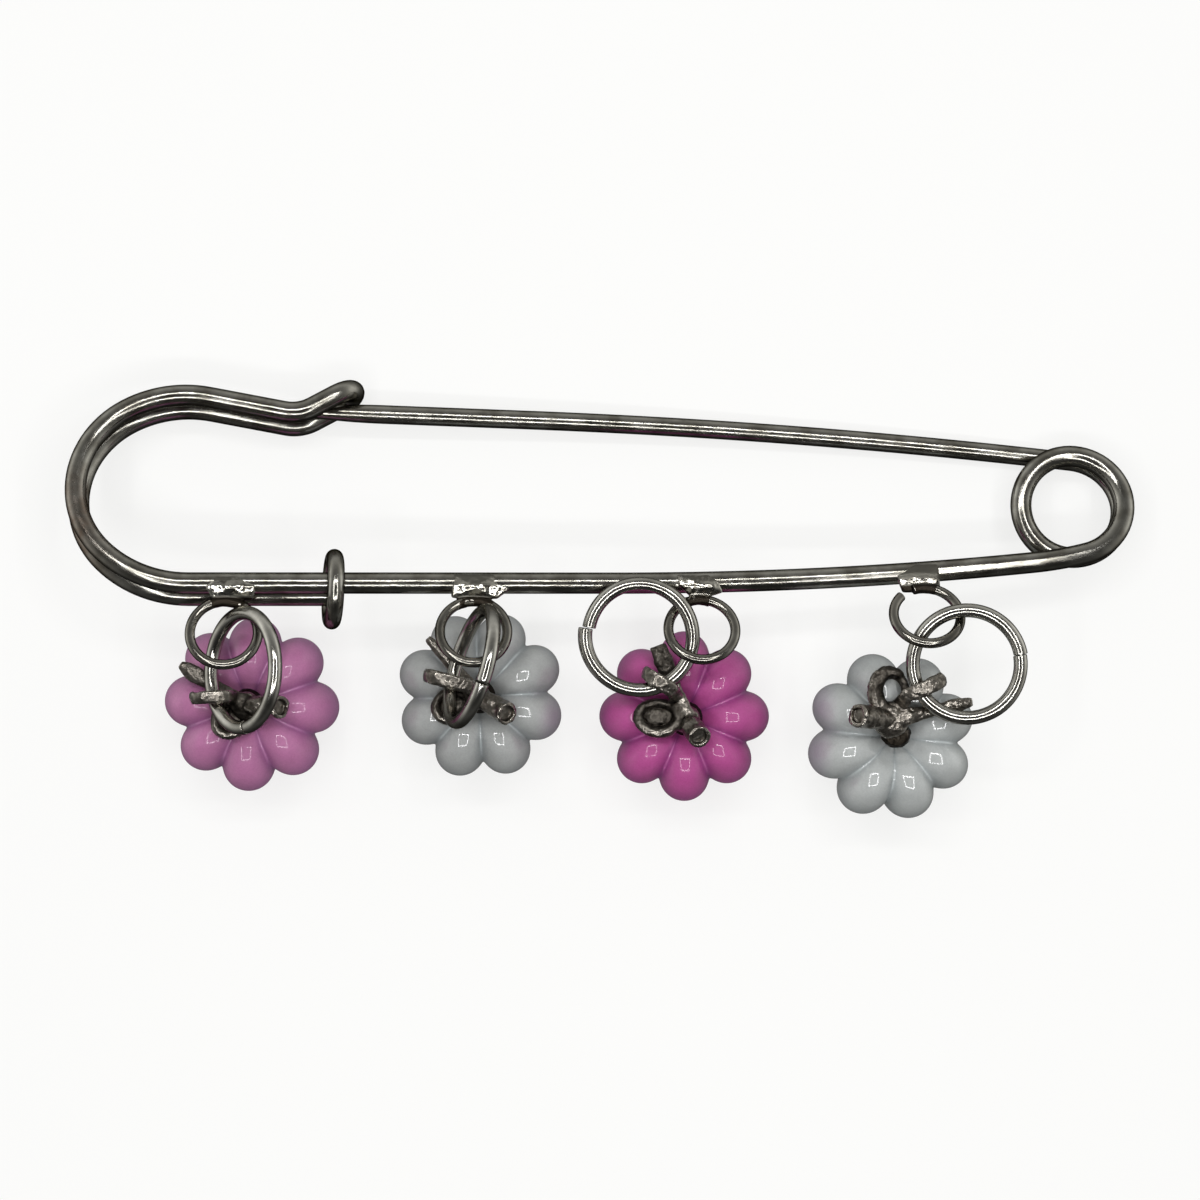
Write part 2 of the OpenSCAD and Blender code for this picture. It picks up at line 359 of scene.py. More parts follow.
@dataclass(frozen=True)
class CastZinc(Finish):
    """Zinc alloy, spin cast and plated: dark in its hollows, rubbed bright on its ridges, and painted in
    shade where the stem cap lowers its wear value.

    Attributes:
        ridge: colour of the rubbed ridges.
        face: colour of the flat faces.
        hollow: colour of the hollows, and of the deepest painted shade.
        rough: roughness of the ridges and of the hollows.
        grain_mm: size of the casting grain.
        mottle: how much the grain changes the wear.
    """

    ridge: str = "#c4beb4"
    face: str = "#746f68"
    hollow: str = "#26221d"
    rough: tuple[float, float] = (0.2, 0.4)
    grain_mm: float = 0.4
    mottle: float = 0.3

    def surface(self, tree: Tree) -> tuple[Socket, Socket, Socket]:
        """Builds tone and polish from the attribute of wear and painted shade, and the casting grain.

        Args:
            tree: the material's node tree.

        Returns:
            The sockets of colour, roughness and height.
        """
        place = add(tree, "TexCoord", {})["Object"]
        grain = add(tree, "TexNoise", {"Scale": per(self.grain_mm), "Detail": 3.0, "Roughness": 0.5},
                    place)[0]
        # The attribute holds the wear and the stem cap's painted shade.
        wear_and_shade = add(tree, "Attribute", {"attribute_name": "wear_and_shade"})["Fac"]
        mottle = add(tree, "Math", {"operation": "MULTIPLY_ADD"}, grain, self.mottle, -self.mottle / 2)[0]
        worn = add(tree, "Math", {"operation": "ADD"}, wear_and_shade, mottle)[0]
        tones = ((0.2, self.hollow), (0.5, self.face), (0.8, self.ridge))
        tone = add(tree, "ValToRGB", {}, worn, stops=[(at, linear(code)) for at, code in tones])[0]
        rough = add(tree, "MapRange", {}, worn, 0.3, 0.75, *self.rough[::-1])[0]
        return tone, rough, grain


@dataclass(frozen=True)
class PearlResin(Finish):
    """Cast resin under a glossy pearl lacquer.

    Mica in the lacquer gives a fine, faint sparkle, painted shade darkens the valleys between
    the lobes, the rim and the underside, a painted glint runs along the valleys' floors, and a
    second colour is dusted on one side.

    Attributes:
        body: main colour.
        valley_shade: colour of the painted shade in the valleys, round the rim and underneath.
        painted_glint: colour of the painted glint along the valleys' floors.
        dust: colour dusted on one side.
        cloud_mm: size of the clouds in the colour.
        cloud: darkest and lightest cloud.
        mica_mm: size of the mica sparkle, drawn coarser than the real flakes so that it shows.
        spark: darkest and lightest flake.
        rough: roughness of the smoothest and of the roughest flake.
        coat: share of clear lacquer over the mica.
        coat_ior: refractive index of the lacquer.
        coat_rough: roughness of the lacquer.
    """

    relief_mm: float = 0.004
    body: str = "#acafae"
    valley_shade: str = "#93999a"
    painted_glint: str = "#c6cccd"
    dust: str = "#ab91af"
    cloud_mm: float = 1.8
    cloud: tuple[float, float] = (0.93, 1.07)
    mica_mm: float = 0.09
    spark: tuple[float, float] = (0.95, 1.05)
    rough: tuple[float, float] = (0.42, 0.55)
    coat: float = 0.9
    coat_ior: float = 1.65
    coat_rough: float = 0.085

    def surface(self, tree: Tree) -> tuple[Socket, Socket, Socket]:
        """Builds the cloudy body colour, the painted valley shade, the painted glint, the dust colour, and
        the mica.

        Args:
            tree: the material's node tree.

        Returns:
            The sockets of colour, roughness and height.
        """
        place = add(tree, "TexCoord", {})["Object"]
        cloud = add(tree, "TexNoise", {"Scale": per(self.cloud_mm), "Detail": 3.0}, place)[0]
        mica = add(tree, "TexVoronoi", {"Scale": per(self.mica_mm)}, place)["Color"]
        fleck = add(tree, "SeparateColor", {}, mica)
        colour = linear(self.body)
        # Painted shade in the valleys and round the rim, a painted glint along the valleys' floors, then the
        # dust.
        for name, code in (("valley_shade", self.valley_shade), ("painted_glint", self.painted_glint), ("dust", self.dust)):
            share = add(tree, "Attribute", {"attribute_name": name})["Fac"]
            colour = add(tree, "Mix", {"data_type": "RGBA", 6: colour, 7: linear(code)}, share)[2]
        light = add(tree, "MapRange", {}, cloud, *NOISE_SPAN, *self.cloud)[0]
        spark = add(tree, "MapRange", {}, fleck[0], 0, 1, *self.spark)[0]
        level = add(tree, "Math", {"operation": "MULTIPLY"}, light, spark)[0]
        tone = add(tree, "VectorMath", {"operation": "SCALE", "Scale": level}, colour)[0]
        rough = add(tree, "MapRange", {}, fleck[1], 0, 1, *self.rough)[0]
        return tone, rough, cloud

    def constants(self) -> dict[str, Any]:
        """Returns the shader's constant values by socket name."""
        return {"IOR": 1.5, "Specular IOR Level": 0.3, "Coat Weight": self.coat,
                "Coat Roughness": self.coat_rough, "Coat IOR": self.coat_ior}


PIN_STEEL = PlatedWire("nickel plated drawn steel", Slot.PIN_WIRE)
RING_STEEL = PlatedWire("bright nickel plated ring wire", Slot.RING_WIRE, 0.003, tone="#bdbbb4",
                        tint="#8a8984", dull="#a09d96", rough=(0.12, 0.22), line_mm=(0.2, 1.6))
EYE_STEEL = PlatedWire("nickel plated small ring wire", Slot.RING_WIRE, 0.003, tone="#8f8c85",
                       dull="#737069", rough=(0.12, 0.24), line_mm=(0.2, 1.6))
TIN = Solder("tin solder", Slot.PIN_WIRE)
ZINC = CastZinc("cast zinc alloy", Slot.CAST_METAL)
# In these lacquers the valley colour is painted shade and the pool colour a painted glint.
ORCHID = PearlResin("orchid pearl resin", Slot.ORCHID, body="#b1709a", valley_shade="#8a5483",
                    painted_glint="#c688b4", dust="#a8749c", coat=0.5, coat_ior=1.5, coat_rough=0.05)
MAGENTA = PearlResin("magenta pearl resin", Slot.MAGENTA, body="#ab4a88", valley_shade="#7f3572",
                     painted_glint="#c26ba4", dust="#a04a88", coat=0.5, coat_ior=1.5, coat_rough=0.05)
PEARL_LILAC = PearlResin("pearl resin with lilac dust", Slot.PEARL, body="#a6a8a7", valley_shade="#868b8d",
                         painted_glint="#bcc4c6", dust="#9d86a0")
PEARL = PearlResin("pearl resin", Slot.PEARL)


# Mesh tools


def put(name: str, data: Any) -> Object:
    """Puts an object with its mesh, lamp or camera into the scene."""
    obj = bpy.data.objects.new(name, data)
    bpy.context.scene.collection.objects.link(obj)
    return obj


def solid(name: str, bm: BMesh) -> Object:
    """Turns a mesh in the making into an object.

    Args:
        name: name of the mesh and of the object.
        bm: mesh in the making, which is freed.

    Returns:
        The new object.
    """
    mesh = bpy.data.meshes.new(name)
    bm.to_mesh(mesh)
    bm.free()
    return put(name, mesh)


def capped(bm: BMesh, ring: Iterable[BMVert]) -> BMFace:
    """Closes an open ring of vertices with one face.

    Args:
        bm: mesh in the making.
        ring: vertices of the opening.

    Returns:
        The new face.
    """
    return bmesh.ops.contextual_create(bm, geom=list(ring))["faces"][0]


def strand_layer(bm: BMesh) -> Any:
    """Returns the layer of places across and along the metal, which the drawing lines follow."""
    layers = bm.verts.layers.float_vector
    return layers.get("strand") or layers.new("strand")


@dataclass
class Strand:
    """A strand of metal along a path, worked in millimetres.

    Attributes:
        points: places along the path.
        width: half width at each place, or one for all.
        thick: half thickness at each place, or one for all.
        up: direction of the thickness at the start.
        sides: number of sides round the strand.
        square: shape of the section: 1 is an ellipse, 0.5 a soft rectangle, 2 a diamond.
        least: smallest size that the drawing lines are scaled to.
    """

    points: Sequence[Vector]
    width: Sequence[float]
    thick: Sequence[float]
    up: Vector = field(default_factory=lambda: Vector((0, 0, 1)))
    sides: int = 20
    square: float = 1
    least: float = 0.2

    def frames(self) -> list[Matrix]:
        """Works out the section's place at each point, without letting it twist.

        Returns:
            Matrices whose columns are side, up, onward and place.
        """
        found: list[Matrix] = []
        up = self.up.copy()
        last = len(self.points) - 1
        for i, point in enumerate(self.points):
            onward = (self.points[min(i + 1, last)] - self.points[max(i - 1, 0)]).normalized()
            up = (up - onward * up.dot(onward)).normalized()
            side = up.cross(onward)
            wide = self.width[i if len(self.width) > 1 else 0]
            thick = self.thick[i if len(self.thick) > 1 else 0]
            turn = Matrix((side * wide, up * thick, onward)).transposed().to_4x4()
            found.append(Matrix.Translation(point) @ turn)
        return found

    def build(self, bm: BMesh) -> tuple[BMFace, BMFace]:
        """Draws the strand into a mesh, with both ends closed.

        Args:
            bm: mesh in the making.

        Returns:
            The faces that close its start and its end.
        """
        layer = strand_layer(bm)
        frames = self.frames()
        ring = first = bmesh.ops.create_circle(bm, segments=self.sides, radius=1)["verts"]
        for v in ring:
            v.co.x = math.copysign(abs(v.co.x) ** self.square, v.co.x)
            v.co.y = math.copysign(abs(v.co.y) ** self.square, v.co.y)
        bmesh.ops.transform(bm, matrix=frames[0], verts=ring)
        edges = list({e for v in ring for e in v.link_edges})
        size = max(self.width[0], self.least)
        length = 0.0
        for before, place in zip([None] + frames, frames):
            if before:
                grown = bmesh.ops.extrude_edge_only(bm, edges=edges)["geom"]
                ring = [g for g in grown if isinstance(g, BMVert)]
                edges = [g for g in grown if isinstance(g, BMEdge)]
                bmesh.ops.transform(bm, matrix=place @ before.inverted(), verts=ring)
                length += (place.translation - before.translation).length
            back = place.inverted()
            for v in ring:
                local = back @ v.co
                v[layer] = Vector((local.x * size, local.y * size, length))
        return capped(bm, first), capped(bm, ring)


def round_strand(bm: BMesh, points: Sequence[Vector], radii: Sequence[float], sides: int = 20) -> None:
    """Draws a round wire along a path.

    Args:
        bm: mesh in the making.
        points: places along the path.
        radii: radius at each place, or one for all.
        sides: number of sides round the wire.
    """
    Strand(points, radii, radii, sides=sides).build(bm)


def eased(rows: Sequence[tuple[Vector, float, float]], shift: Vector, steps: int = 6) -> Strand:
    """Draws a smooth curve through a few places.

    Args:
        rows: place, half width and half thickness at each.
        shift: shift of all the places.
        steps: steps between two of them.

    Returns:
        The strand along the curve.
    """
    least = 0.02
    wide = [Vector((*(p + shift), w, t)) for p, w, t in rows]
    found = []
    for i in range(len(wide) - 1):
        a, b, c, d = (wide[min(max(i + k, 0), len(wide) - 1)] for k in (-1, 0, 1, 2))
        for j in range(steps):
            s = j / steps
            found.append(0.5 * (2 * b + (c - a) * s + (2 * a - 5 * b + 4 * c - d) * s * s
                                + (3 * b - a - 3 * c + d) * s ** 3))
    found.append(wide[-1])
    return Strand([Vector(f[:3]) for f in found], [max(f[3], least) for f in found],
                  [max(f[4], least) for f in found])


def wire_ring(bm: BMesh, radius: float, wire: float, start: float = 0, turn: float = 360,
              sides: int = 32, steps: int = 120) -> None:
    """Spins a round wire into a ring about Z, closed or with cut ends.

    Args:
        bm: mesh in the making.
        radius: centre-line radius.
        wire: radius of the wire.
        start: angle where the wire starts, in degrees.
        turn: degrees of wire.
        sides: number of sides of the wire.
        steps: steps of the spin.
    """
    layer = strand_layer(bm)
    place = Matrix.Translation((radius, 0, 0)) @ Matrix.Rotation(math.pi / 2, 4, "X")
    ring = bmesh.ops.create_circle(bm, segments=sides, radius=wire, matrix=place)["verts"]
    edges = list({e for v in ring for e in v.link_edges})
    closed = turn >= 360
    spun = bmesh.ops.spin(bm, geom=ring + edges, cent=(0, 0, 0), axis=(0, 0, 1),
                          angle=math.radians(turn), steps=steps, use_merge=closed)
    if closed:
        bmesh.ops.remove_doubles(bm, verts=bm.verts, dist=1e-5)
    else:
        capped(bm, ring)
        capped(bm, [g for g in spun["geom_last"] if isinstance(g, BMVert)])
        sharp, rounded = 1.2, wire * 0.1
        rims = {e for v in bm.verts for e in v.link_edges if e.is_manifold and e.calc_face_angle(0) > sharp}
        bmesh.ops.bevel(bm, geom=list(rims), offset=rounded, offset_type="OFFSET", segments=2,
                        profile=0.5, material=-1, affect="EDGES")
    for v in bm.verts:
        along = (math.atan2(v.co.y, v.co.x) % TAU) * radius
        v[layer] = Vector((math.hypot(v.co.x, v.co.y) - radius, v.co.z, along))
    bmesh.ops.recalc_face_normals(bm, faces=bm.faces)
    bmesh.ops.rotate(bm, verts=bm.verts, cent=(0, 0, 0), matrix=Matrix.Rotation(math.radians(start), 3, "Z"))


def fused(bm: BMesh, rounds: int, voxel: float = 0.05) -> BMesh:
    """Melts overlapping closed forms into one skin.

    Args:
        bm: mesh in the making, which is freed.
        rounds: rounds of smoothing afterwards.
        voxel: size of the melt's grid.

    Returns:
        A new mesh in the making.
    """
    obj = solid("melt", bm)
    melt = obj.modifiers.new("melt", "REMESH")
    melt.mode = "VOXEL"
    melt.voxel_size = voxel
    skin = bpy.data.meshes.new_from_object(obj.evaluated_get(bpy.context.evaluated_depsgraph_get()))
    out = bmesh.new()
    out.from_mesh(skin)
    rough = obj.data
    bpy.data.objects.remove(obj)
    for used in (rough, skin):
        bpy.data.meshes.remove(used)
    for _ in range(rounds):
        bmesh.ops.smooth_vert(out, verts=out.verts, factor=0.5, use_axis_x=True, use_axis_y=True,
                              use_axis_z=True)
    return out


def roughen(bm: BMesh, size: float, depth: float, seed: float) -> None:
    """Moves the skin in and out by smooth lumps.

    Args:
        bm: mesh in the making.
        size: size of a lump.
        depth: height of a lump.
        seed: offset that makes each piece its own.
    """
    bm.normal_update()
    offset = Vector((seed, seed * 1.7, seed * 0.6))
    moves = [v.normal * depth * noise.fractal(v.co / size + offset, 1.0, 2.0, 3) for v in bm.verts]
    for v, move in zip(bm.verts, moves):
        v.co += move


def mark_wear(bm: BMesh, reach: float, rounds: int = 3) -> None:
    """Writes the wear into the wear_and_shade attribute: 1 on ridges, 0.5 on flat faces, 0 in hollows.

    Args:
        bm: mesh in the making.
        reach: edge offset that counts as a full ridge, as a share of the edge length.
        rounds: rounds of averaging.
    """
    bm.normal_update()
    layer = bm.verts.layers.float.new("wear_and_shade")
    for v in bm.verts:
        around = [e.other_vert(v).co for e in v.link_edges]
        mean = sum(around, Vector()) / len(around)
        step = sum((a - v.co).length for a in around) / len(around)
        v[layer] = 0.5 + (v.co - mean).dot(v.normal) / (2 * reach * max(step, 1e-6))
    for _ in range(rounds):
        means = [sum(e.other_vert(v)[layer] for e in v.link_edges) / len(v.link_edges) for v in bm.verts]
        for v, value in zip(bm.verts, means):
            v[layer] = 0.5 * v[layer] + 0.5 * value
    for v in bm.verts:
        v[layer] = unit(v[layer])


def piece(bm: BMesh, name: str, finish: Finish, nodes: Sequence[str], pose: Matrix,
          body: Body | None = Body.FRAME, crease: float = 40) -> Object:
    """Places, dresses, names and reports one piece.

    Args:
        bm: mesh in the making, in millimetres, which is freed.
        name: name of the piece.
        finish: its finish.
        nodes: CAD nodes that it stands for.
        pose: its place, in millimetres.
        body: body that it rides on, or None if it is blended later.
        crease: edges that turn more than this, in degrees, stay sharp.

    Returns:
        The new object.
    """
    bm.transform(Matrix.Scale(MM, 4) @ pose)
    bm.normal_update()
    for face in bm.faces:
        face.smooth = True
    for edge in bm.edges:
        edge.smooth = edge.calc_face_angle(0) < math.radians(crease)
    obj = solid(name, bm)
    obj.data.materials.append(finish.material())
    if body:
        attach(obj, body.value)
    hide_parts(*nodes)
    log.info("%s: %d faces, %s", name, len(obj.data.polygons), finish.label)
    return obj


# The pin


@dataclass(frozen=True)
class Bend:
    """One bend of the wire, or a straight where the radius is 0.

    Attributes:
        radius: radius of the bend.
        turn: its turn in degrees, left positive, or the straight's length.
    """

    radius: float
    turn: float

    def onward(self, state: Vector, share: float = 1) -> Vector:
        """Walks a share of the bend.

        Args:
            state: start as (along, across, heading in degrees).
            share: share of the bend.

        Returns:
            The state that it ends in.
        """
        along, across, heading = state
        if self.radius == 0:
            way = math.radians(heading)
            step = self.turn * share
            return Vector((along + step * math.cos(way), across + step * math.sin(way), heading))
        end = heading + self.turn * share
        r = math.copysign(self.radius, self.turn)
        h, e = math.radians(heading), math.radians(end)
        return Vector((along + r * (math.sin(e) - math.sin(h)), across + r * (math.cos(h) - math.cos(e)),
                       end))


def follow(bends: Sequence[Bend], state: Vector, step: float = 0.45) -> list[Vector]:
    """Walks along bends.

    Args:
        bends: the bends in order.
        state: start as (along, across, heading).
        step: longest step, which is shorter in a tight bend.

    Returns:
        The states after the start.
    """
    states: list[Vector] = []
    for bend in bends:
        length = abs(math.radians(bend.turn)) * bend.radius if bend.radius else bend.turn
        count = max(math.ceil(length / min(step, 0.1 * bend.radius or 1)), 2)
        states += [bend.onward(state, (i + 1) / count) for i in range(count)]
        state = states[-1]
    return states


@dataclass(frozen=True)
class SmallRing:
    """One small ring with the solder blob that holds it to the bar.

    Attributes:
        at: place along the bar.
        tilt: tilt about the bar in degrees.
        corners: the blob's corners: along the bar from the ring, across the bar, and up.
        lumps: height of the blob's lumps.
        flux: how much flux is burnt onto the blob's upper side, up to 1.
        flux_from: place across the bar where the flux begins.
        shade_skirt: degrees of the ring's top that the dark skirt of painted shade covers, on its left and
            on its right.
        start: direction where the wire starts, in degrees.
        turn: degrees of wire.
    """

    at: float
    tilt: float
    corners: Sequence[tuple[float, float, float]]
    lumps: float
    flux: float
    flux_from: float
    shade_skirt: tuple[float, float]
    start: float = 90
    turn: float = 360


SMALL_RINGS = (
    SmallRing(-25.9, 22, ((-1.1, -0.5, 0.5), (-0.5, 0.05, 0.6), (0.7, 0.05, 0.6), (2.0, -0.5, 0.5),
                          (-0.7, -1.07, 0.2), (1.75, -1.1, 0.1), (0.4, -0.55, 0.72)),
              0.035, 0.6, -0.25, (24, 36)),
    SmallRing(-8.8, 25, ((-1.2, 0.22, 0.6), (1.25, 0.22, 0.6), (-1.3, -0.45, 0.55), (-1.35, -1.0, 0.2),
                         (2.28, -0.55, 0.35), (1.6, -1.05, 0.2), (0.1, -0.6, 0.7)),
              0.04, 1.0, -0.5, (32, 34)),
    SmallRing(6.95, 28, ((-1.5, 0.1, 0.62), (0.5, 0.12, 0.6), (-1.4, -0.4, 0.58), (-0.65, -0.95, 0.2),
                         (0.6, -0.95, 0.25), (1.1, -0.3, 0.62), (1.35, -0.75, 0.3), (0.75, -0.55, 0.7)),
              0.045, 0.55, -0.35, (34, 16)),
    SmallRing(22.6, 35, ((-0.5, 0.12, 0.64), (0.85, 0.15, 0.62), (-1.75, -0.5, 0.48), (-1.35, -1.35, 0.05),
                         (1.0, -1.35, 0.05), (-0.4, -0.45, 0.74), (0.9, -0.5, 0.68)),
              0.02, 0.85, -0.85, (20, 22), -225, 335))


@dataclass
class KiltPin:
    """The bent wire: bar, spring coil, clasp, hook, small rings, solder, collar and arm.

    Sizes are those of the CAD source. The wire's plane has its own axes: along the bar, across it,
    and towards the viewer.

    Attributes:
        tilt: tilt of the wire's plane about the bar, in degrees.
        dip: dip of the bar towards the coil, in degrees.
        bar_place: the middle of the bar over the surface.
        bar_start: where the bar's bow begins, along the bar.
        wire_r: radius of the frame's wire.
        coil_r: centre-line radius of the coil's front half.
        coil_drop: how far the coil's rear half lies behind the front one.
        right_bends: bends from the bar into the coil.
        left_bends: bends from the bar round the clasp to the hook.
        hook_reach: how far the hook's fold stands out.
        rear_depth: how far the doubled rear wire lies behind the bar.
        rear_growth: how much deeper it lies for each millimetre across.
        rear_shift: its shift across at the bar.
        rear_slope: its growth across, as a share.
        rear_end: where it ends, along the bar.
        arm_r: radius of the arm.
        arm_coil_r: centre-line radius of the coil's rear half.
        arm_leave: degrees of the coil that are left when the arm leaves it.
        arm_bow: the arm's faint bow.
        straight_l: length of the arm after its bow.
        point_l: length of its point.
        tip_r: radius of the point's tip.
        nose: length and radius of the rounding at the tip.
        lap: how far the arm's wire reaches into the frame's.
        narrowing: how soon the coil's rear half has the arm's radius: 1 is at its end.
        blend_span: where the coil begins to bend and where it has bent, as shares of its width.
        worn_at: middle of the worn place on the clasp.
        worn_reach: radius of the worn place.
        worn_most: strongest wear.
        ring_r: centre-line radius of a small ring.
        ring_wire_r: radius of its wire.
        ring_drop: how far its centre lies below the bar.
        shade_skirt_r: radius of the dark solder skirt of painted shade round its top.
        corner_r: radius of a solder blob's corners.
        painted_shade_from: place across the bar past which the solder is painted in shade.
        collar_at: place of the collar along the bar.
        collar_lean: lean of the collar in degrees.
        collar_r: centre-line radius of the collar.
        collar_wire_r: radius of its wire.
    """

    tilt: float = 21
    dip: float = 3.3
    bar_place: Vector = field(default_factory=lambda: Vector((0, 1.13, 7.68)))
    bar_start: float = 1
    wire_r: float = 0.745
    coil_r: float = 3.58
    coil_drop: float = 1.57
    right_bends: Sequence[Bend] = (Bend(278, 6.1), Bend(25.2, 8.9), Bend(3.94, 75), Bend(3.63, 90))
    left_bends: Sequence[Bend] = (Bend(0, 29.45), Bend(8.5, -45), Bend(6.72, -48), Bend(6.82, -56),
                                  Bend(8.1, -42.5), Bend(0, 5.4), Bend(2.8, 42), Bend(0, 1.85))
    hook_reach: float = 1.5
    rear_depth: float = 1.5
    rear_growth: float = 0.1
    rear_shift: float = -0.33
    rear_slope: float = 0.04
    rear_end: float = -18
    arm_r: float = 0.67
    arm_coil_r: float = 3.72
    arm_leave: float = 7
    arm_bow: Bend = Bend(465, 4.8)
    straight_l: float = 17.5
    point_l: float = 7
    tip_r: float = 0.1
    nose: tuple[float, float] = (0.06, 0.04)
    lap: float = 0.3
    narrowing: float = 1.5
    blend_span: tuple[float, float] = (0.04, 0.96)
    worn_at: Vector = field(default_factory=lambda: Vector((-37.6, 4.2, -0.6)))
    worn_reach: float = 5.5
    worn_most: float = 0.8
    ring_r: float = 2.32
    ring_wire_r: float = 0.35
    ring_drop: float = 3.7
    shade_skirt_r: float = 0.37
    corner_r: float = 0.2
    painted_shade_from: float = -1.05
    collar_at: float = -18.5
    collar_lean: float = 7
    collar_r: float = 2.2
    collar_wire_r: float = 0.6

    def pose(self) -> Matrix:
        """Returns the place of the wire's plane over the surface."""
        return Matrix.Translation(FRAME_SHIFT + self.bar_place) @ leaning(-self.tilt, self.dip)

    def bar_pose(self, along: float) -> Matrix:
        """Works out a place on the bar, whose right end rises in a bow.

        Args:
            along: place along the bar.

        Returns:
            The matrix of that place.
        """
        across, past = 0.0, along - self.bar_start
        if past >= 0:
            bow = self.right_bends[0].radius
            across = bow - math.sqrt(bow ** 2 - past ** 2)
        return self.pose() @ Matrix.Translation((along, across, 0))

    def rear(self, state: Vector) -> Vector:
        """Returns the doubled rear wire's place behind a place on the front one."""
        return Vector((state.x, state.y * (1 + self.rear_slope) + self.rear_shift,
                       -self.rear_depth - self.rear_growth * state.y))

    def to_coil(self) -> list[Vector]:
        """Returns the states from the bar to the top of the coil."""
        return follow(self.right_bends, Vector((self.bar_start, 0, 0)))

    def frame_path(self) -> list[Vector]:
        """Lays out the wire from the collar over the hook and along the bar to the coil's low end.

        Returns:
            The places along it.
        """
        left = follow(self.left_bends, Vector((self.bar_start, 0, 180)))
        right = self.to_coil()
        end, fold_steps = left[-1], 16
        front, rear = Vector((end.x, end.y, 0)), self.rear(end)
        outward = polar(1, end.z) * self.hook_reach
        hook = []
        for i in range(1, fold_steps):
            a = math.pi * i / fold_steps
            hook.append(front + math.sin(a) * outward + (1 - math.cos(a)) / 2 * (rear - front))
        turns = follow([Bend(self.coil_r, 180)], right[-1])
        coil = [Vector((s.x, s.y, -self.coil_drop * smooth((i + 1) / len(turns))))
                for i, s in enumerate(turns)]
        path = [self.rear(Vector((self.rear_end, 0, 0)))]
        path += [self.rear(s) for s in left if s.x < self.rear_end]
        path += hook[::-1]
        path += [Vector((s.x, s.y, 0)) for s in left[::-1]] + [Vector((self.bar_start, 0, 0))]
        path += [Vector((s.x, s.y, 0)) for s in right] + coil
        return path

    def wire(self) -> None:
        """Builds the frame's wire, worn where the clasp is gripped."""
        bm = bmesh.new()
        round_strand(bm, self.frame_path(), [self.wire_r], 40)
        bmesh.ops.recalc_face_normals(bm, faces=bm.faces)
        layer = bm.verts.layers.float.new("tarnish")
        for v in bm.verts:
            v[layer] = min(unit(1.0 - (v.co - self.worn_at).length / self.worn_reach), self.worn_most)
        piece(bm, "pin_wire", PIN_STEEL, ["pin_frame"], self.pose())

    def arm(self) -> None:
        """Builds the arm with the rear half of the coil, which bends with the spring."""
        shaft_steps, point_steps = 12, 20
        low = Bend(self.coil_r, 180).onward(self.to_coil()[-1])
        start = Vector((low.x, low.y, 0))
        coil = follow([Bend(self.arm_coil_r, 180 - self.arm_leave)], start)
        bow = follow([self.arm_bow], coil[-1])
        out = bow[-1]
        way = polar(1, out.z)
        path = [start - self.lap * polar(1, low.z), start] + coil + bow
        narrow = [smooth(min(self.narrowing * i / len(coil), 1)) for i in range(len(coil) + 1)]
        radii = [self.wire_r * 0.8] + [self.wire_r + (self.arm_r - self.wire_r) * n for n in narrow]
        radii += [self.arm_r] * (len(bow) + shaft_steps)
        shaft = self.straight_l - self.point_l
        path += [out + way * shaft * i / shaft_steps for i in range(1, shaft_steps + 1)]
        for i in range(1, point_steps + 1):
            share = i / point_steps
            path.append(out + way * (shaft + self.point_l * share))
            radii.append(self.tip_r + (self.arm_r - self.tip_r) * (1 - share ** 2) ** 0.8)
        nose_l, nose_r = self.nose
        path.append(path[-1] + way * nose_l)
        radii.append(nose_r)
        bm = bmesh.new()
        round_strand(bm, [Vector((p.x, p.y, -self.coil_drop)) for p in path], radii, 40)
        bmesh.ops.recalc_face_normals(bm, faces=bm.faces)
        obj = piece(bm, "arm_wire", PIN_STEEL, ["pin_arm"], self.pose(), body=None)
        across = self.arm_coil_r * 2
        ends = [self.pose() @ Vector((low.x, low.y + share * across, -self.coil_drop)) * MM
                for share in self.blend_span]
        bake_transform(obj, Body.FRAME.value, Body.ARM.value, start=ends[0], end=ends[1])

    def small_rings(self) -> None:
        """Builds the small rings and the solder that holds each to the bar."""
        for number, ring in enumerate(SMALL_RINGS, 1):
            bm = bmesh.new()
            wire_ring(bm, self.ring_r, self.ring_wire_r, ring.start, ring.turn)
            pose = (self.bar_pose(ring.at) @ turned(self.tilt - ring.tilt, "X")
                    @ Matrix.Translation((0, -self.ring_drop, 0)))
            piece(bm, f"small_ring_{number}", EYE_STEEL, ["pin_frame"], pose)
            self.solder(number, ring)

    def solder(self, number: int, ring: SmallRing) -> None:
        """Builds one solder blob, with a dark skirt of painted shade round the top of its ring.

        Args:
            number: number of the charm.
            ring: its small ring.
        """
        bm = bmesh.new()
        for corner in ring.corners:
            bmesh.ops.create_icosphere(bm, subdivisions=2, radius=self.corner_r,
                                       matrix=Matrix.Translation(corner))
        bmesh.ops.delete(bm, geom=bm.edges, context="EDGES_FACES")
        bmesh.ops.convex_hull(bm, input=bm.verts)
        bmesh.ops.delete(bm, geom=[v for v in bm.verts if not v.link_faces], context="VERTS")
        lean = turned(self.tilt - ring.tilt, "X")
        # A dark skirt of painted shade lies over the ring's top.
        (left, right), steps = ring.shade_skirt, 16
        turns = [math.radians(-left + (left + right) * i / steps) for i in range(steps + 1)]
        shade_skirt = [lean @ Vector((self.ring_r * math.sin(a), self.ring_r * math.cos(a) - self.ring_drop, 0))
                 for a in turns]
        round_strand(bm, shade_skirt, [self.shade_skirt_r])
        bmesh.ops.recalc_face_normals(bm, faces=bm.faces)
        lump_size, flux_edge, painted_shade_edge = 0.7, 0.2, 0.1
        bm = fused(bm, 5)
        roughen(bm, lump_size, ring.lumps, number * 3.1)
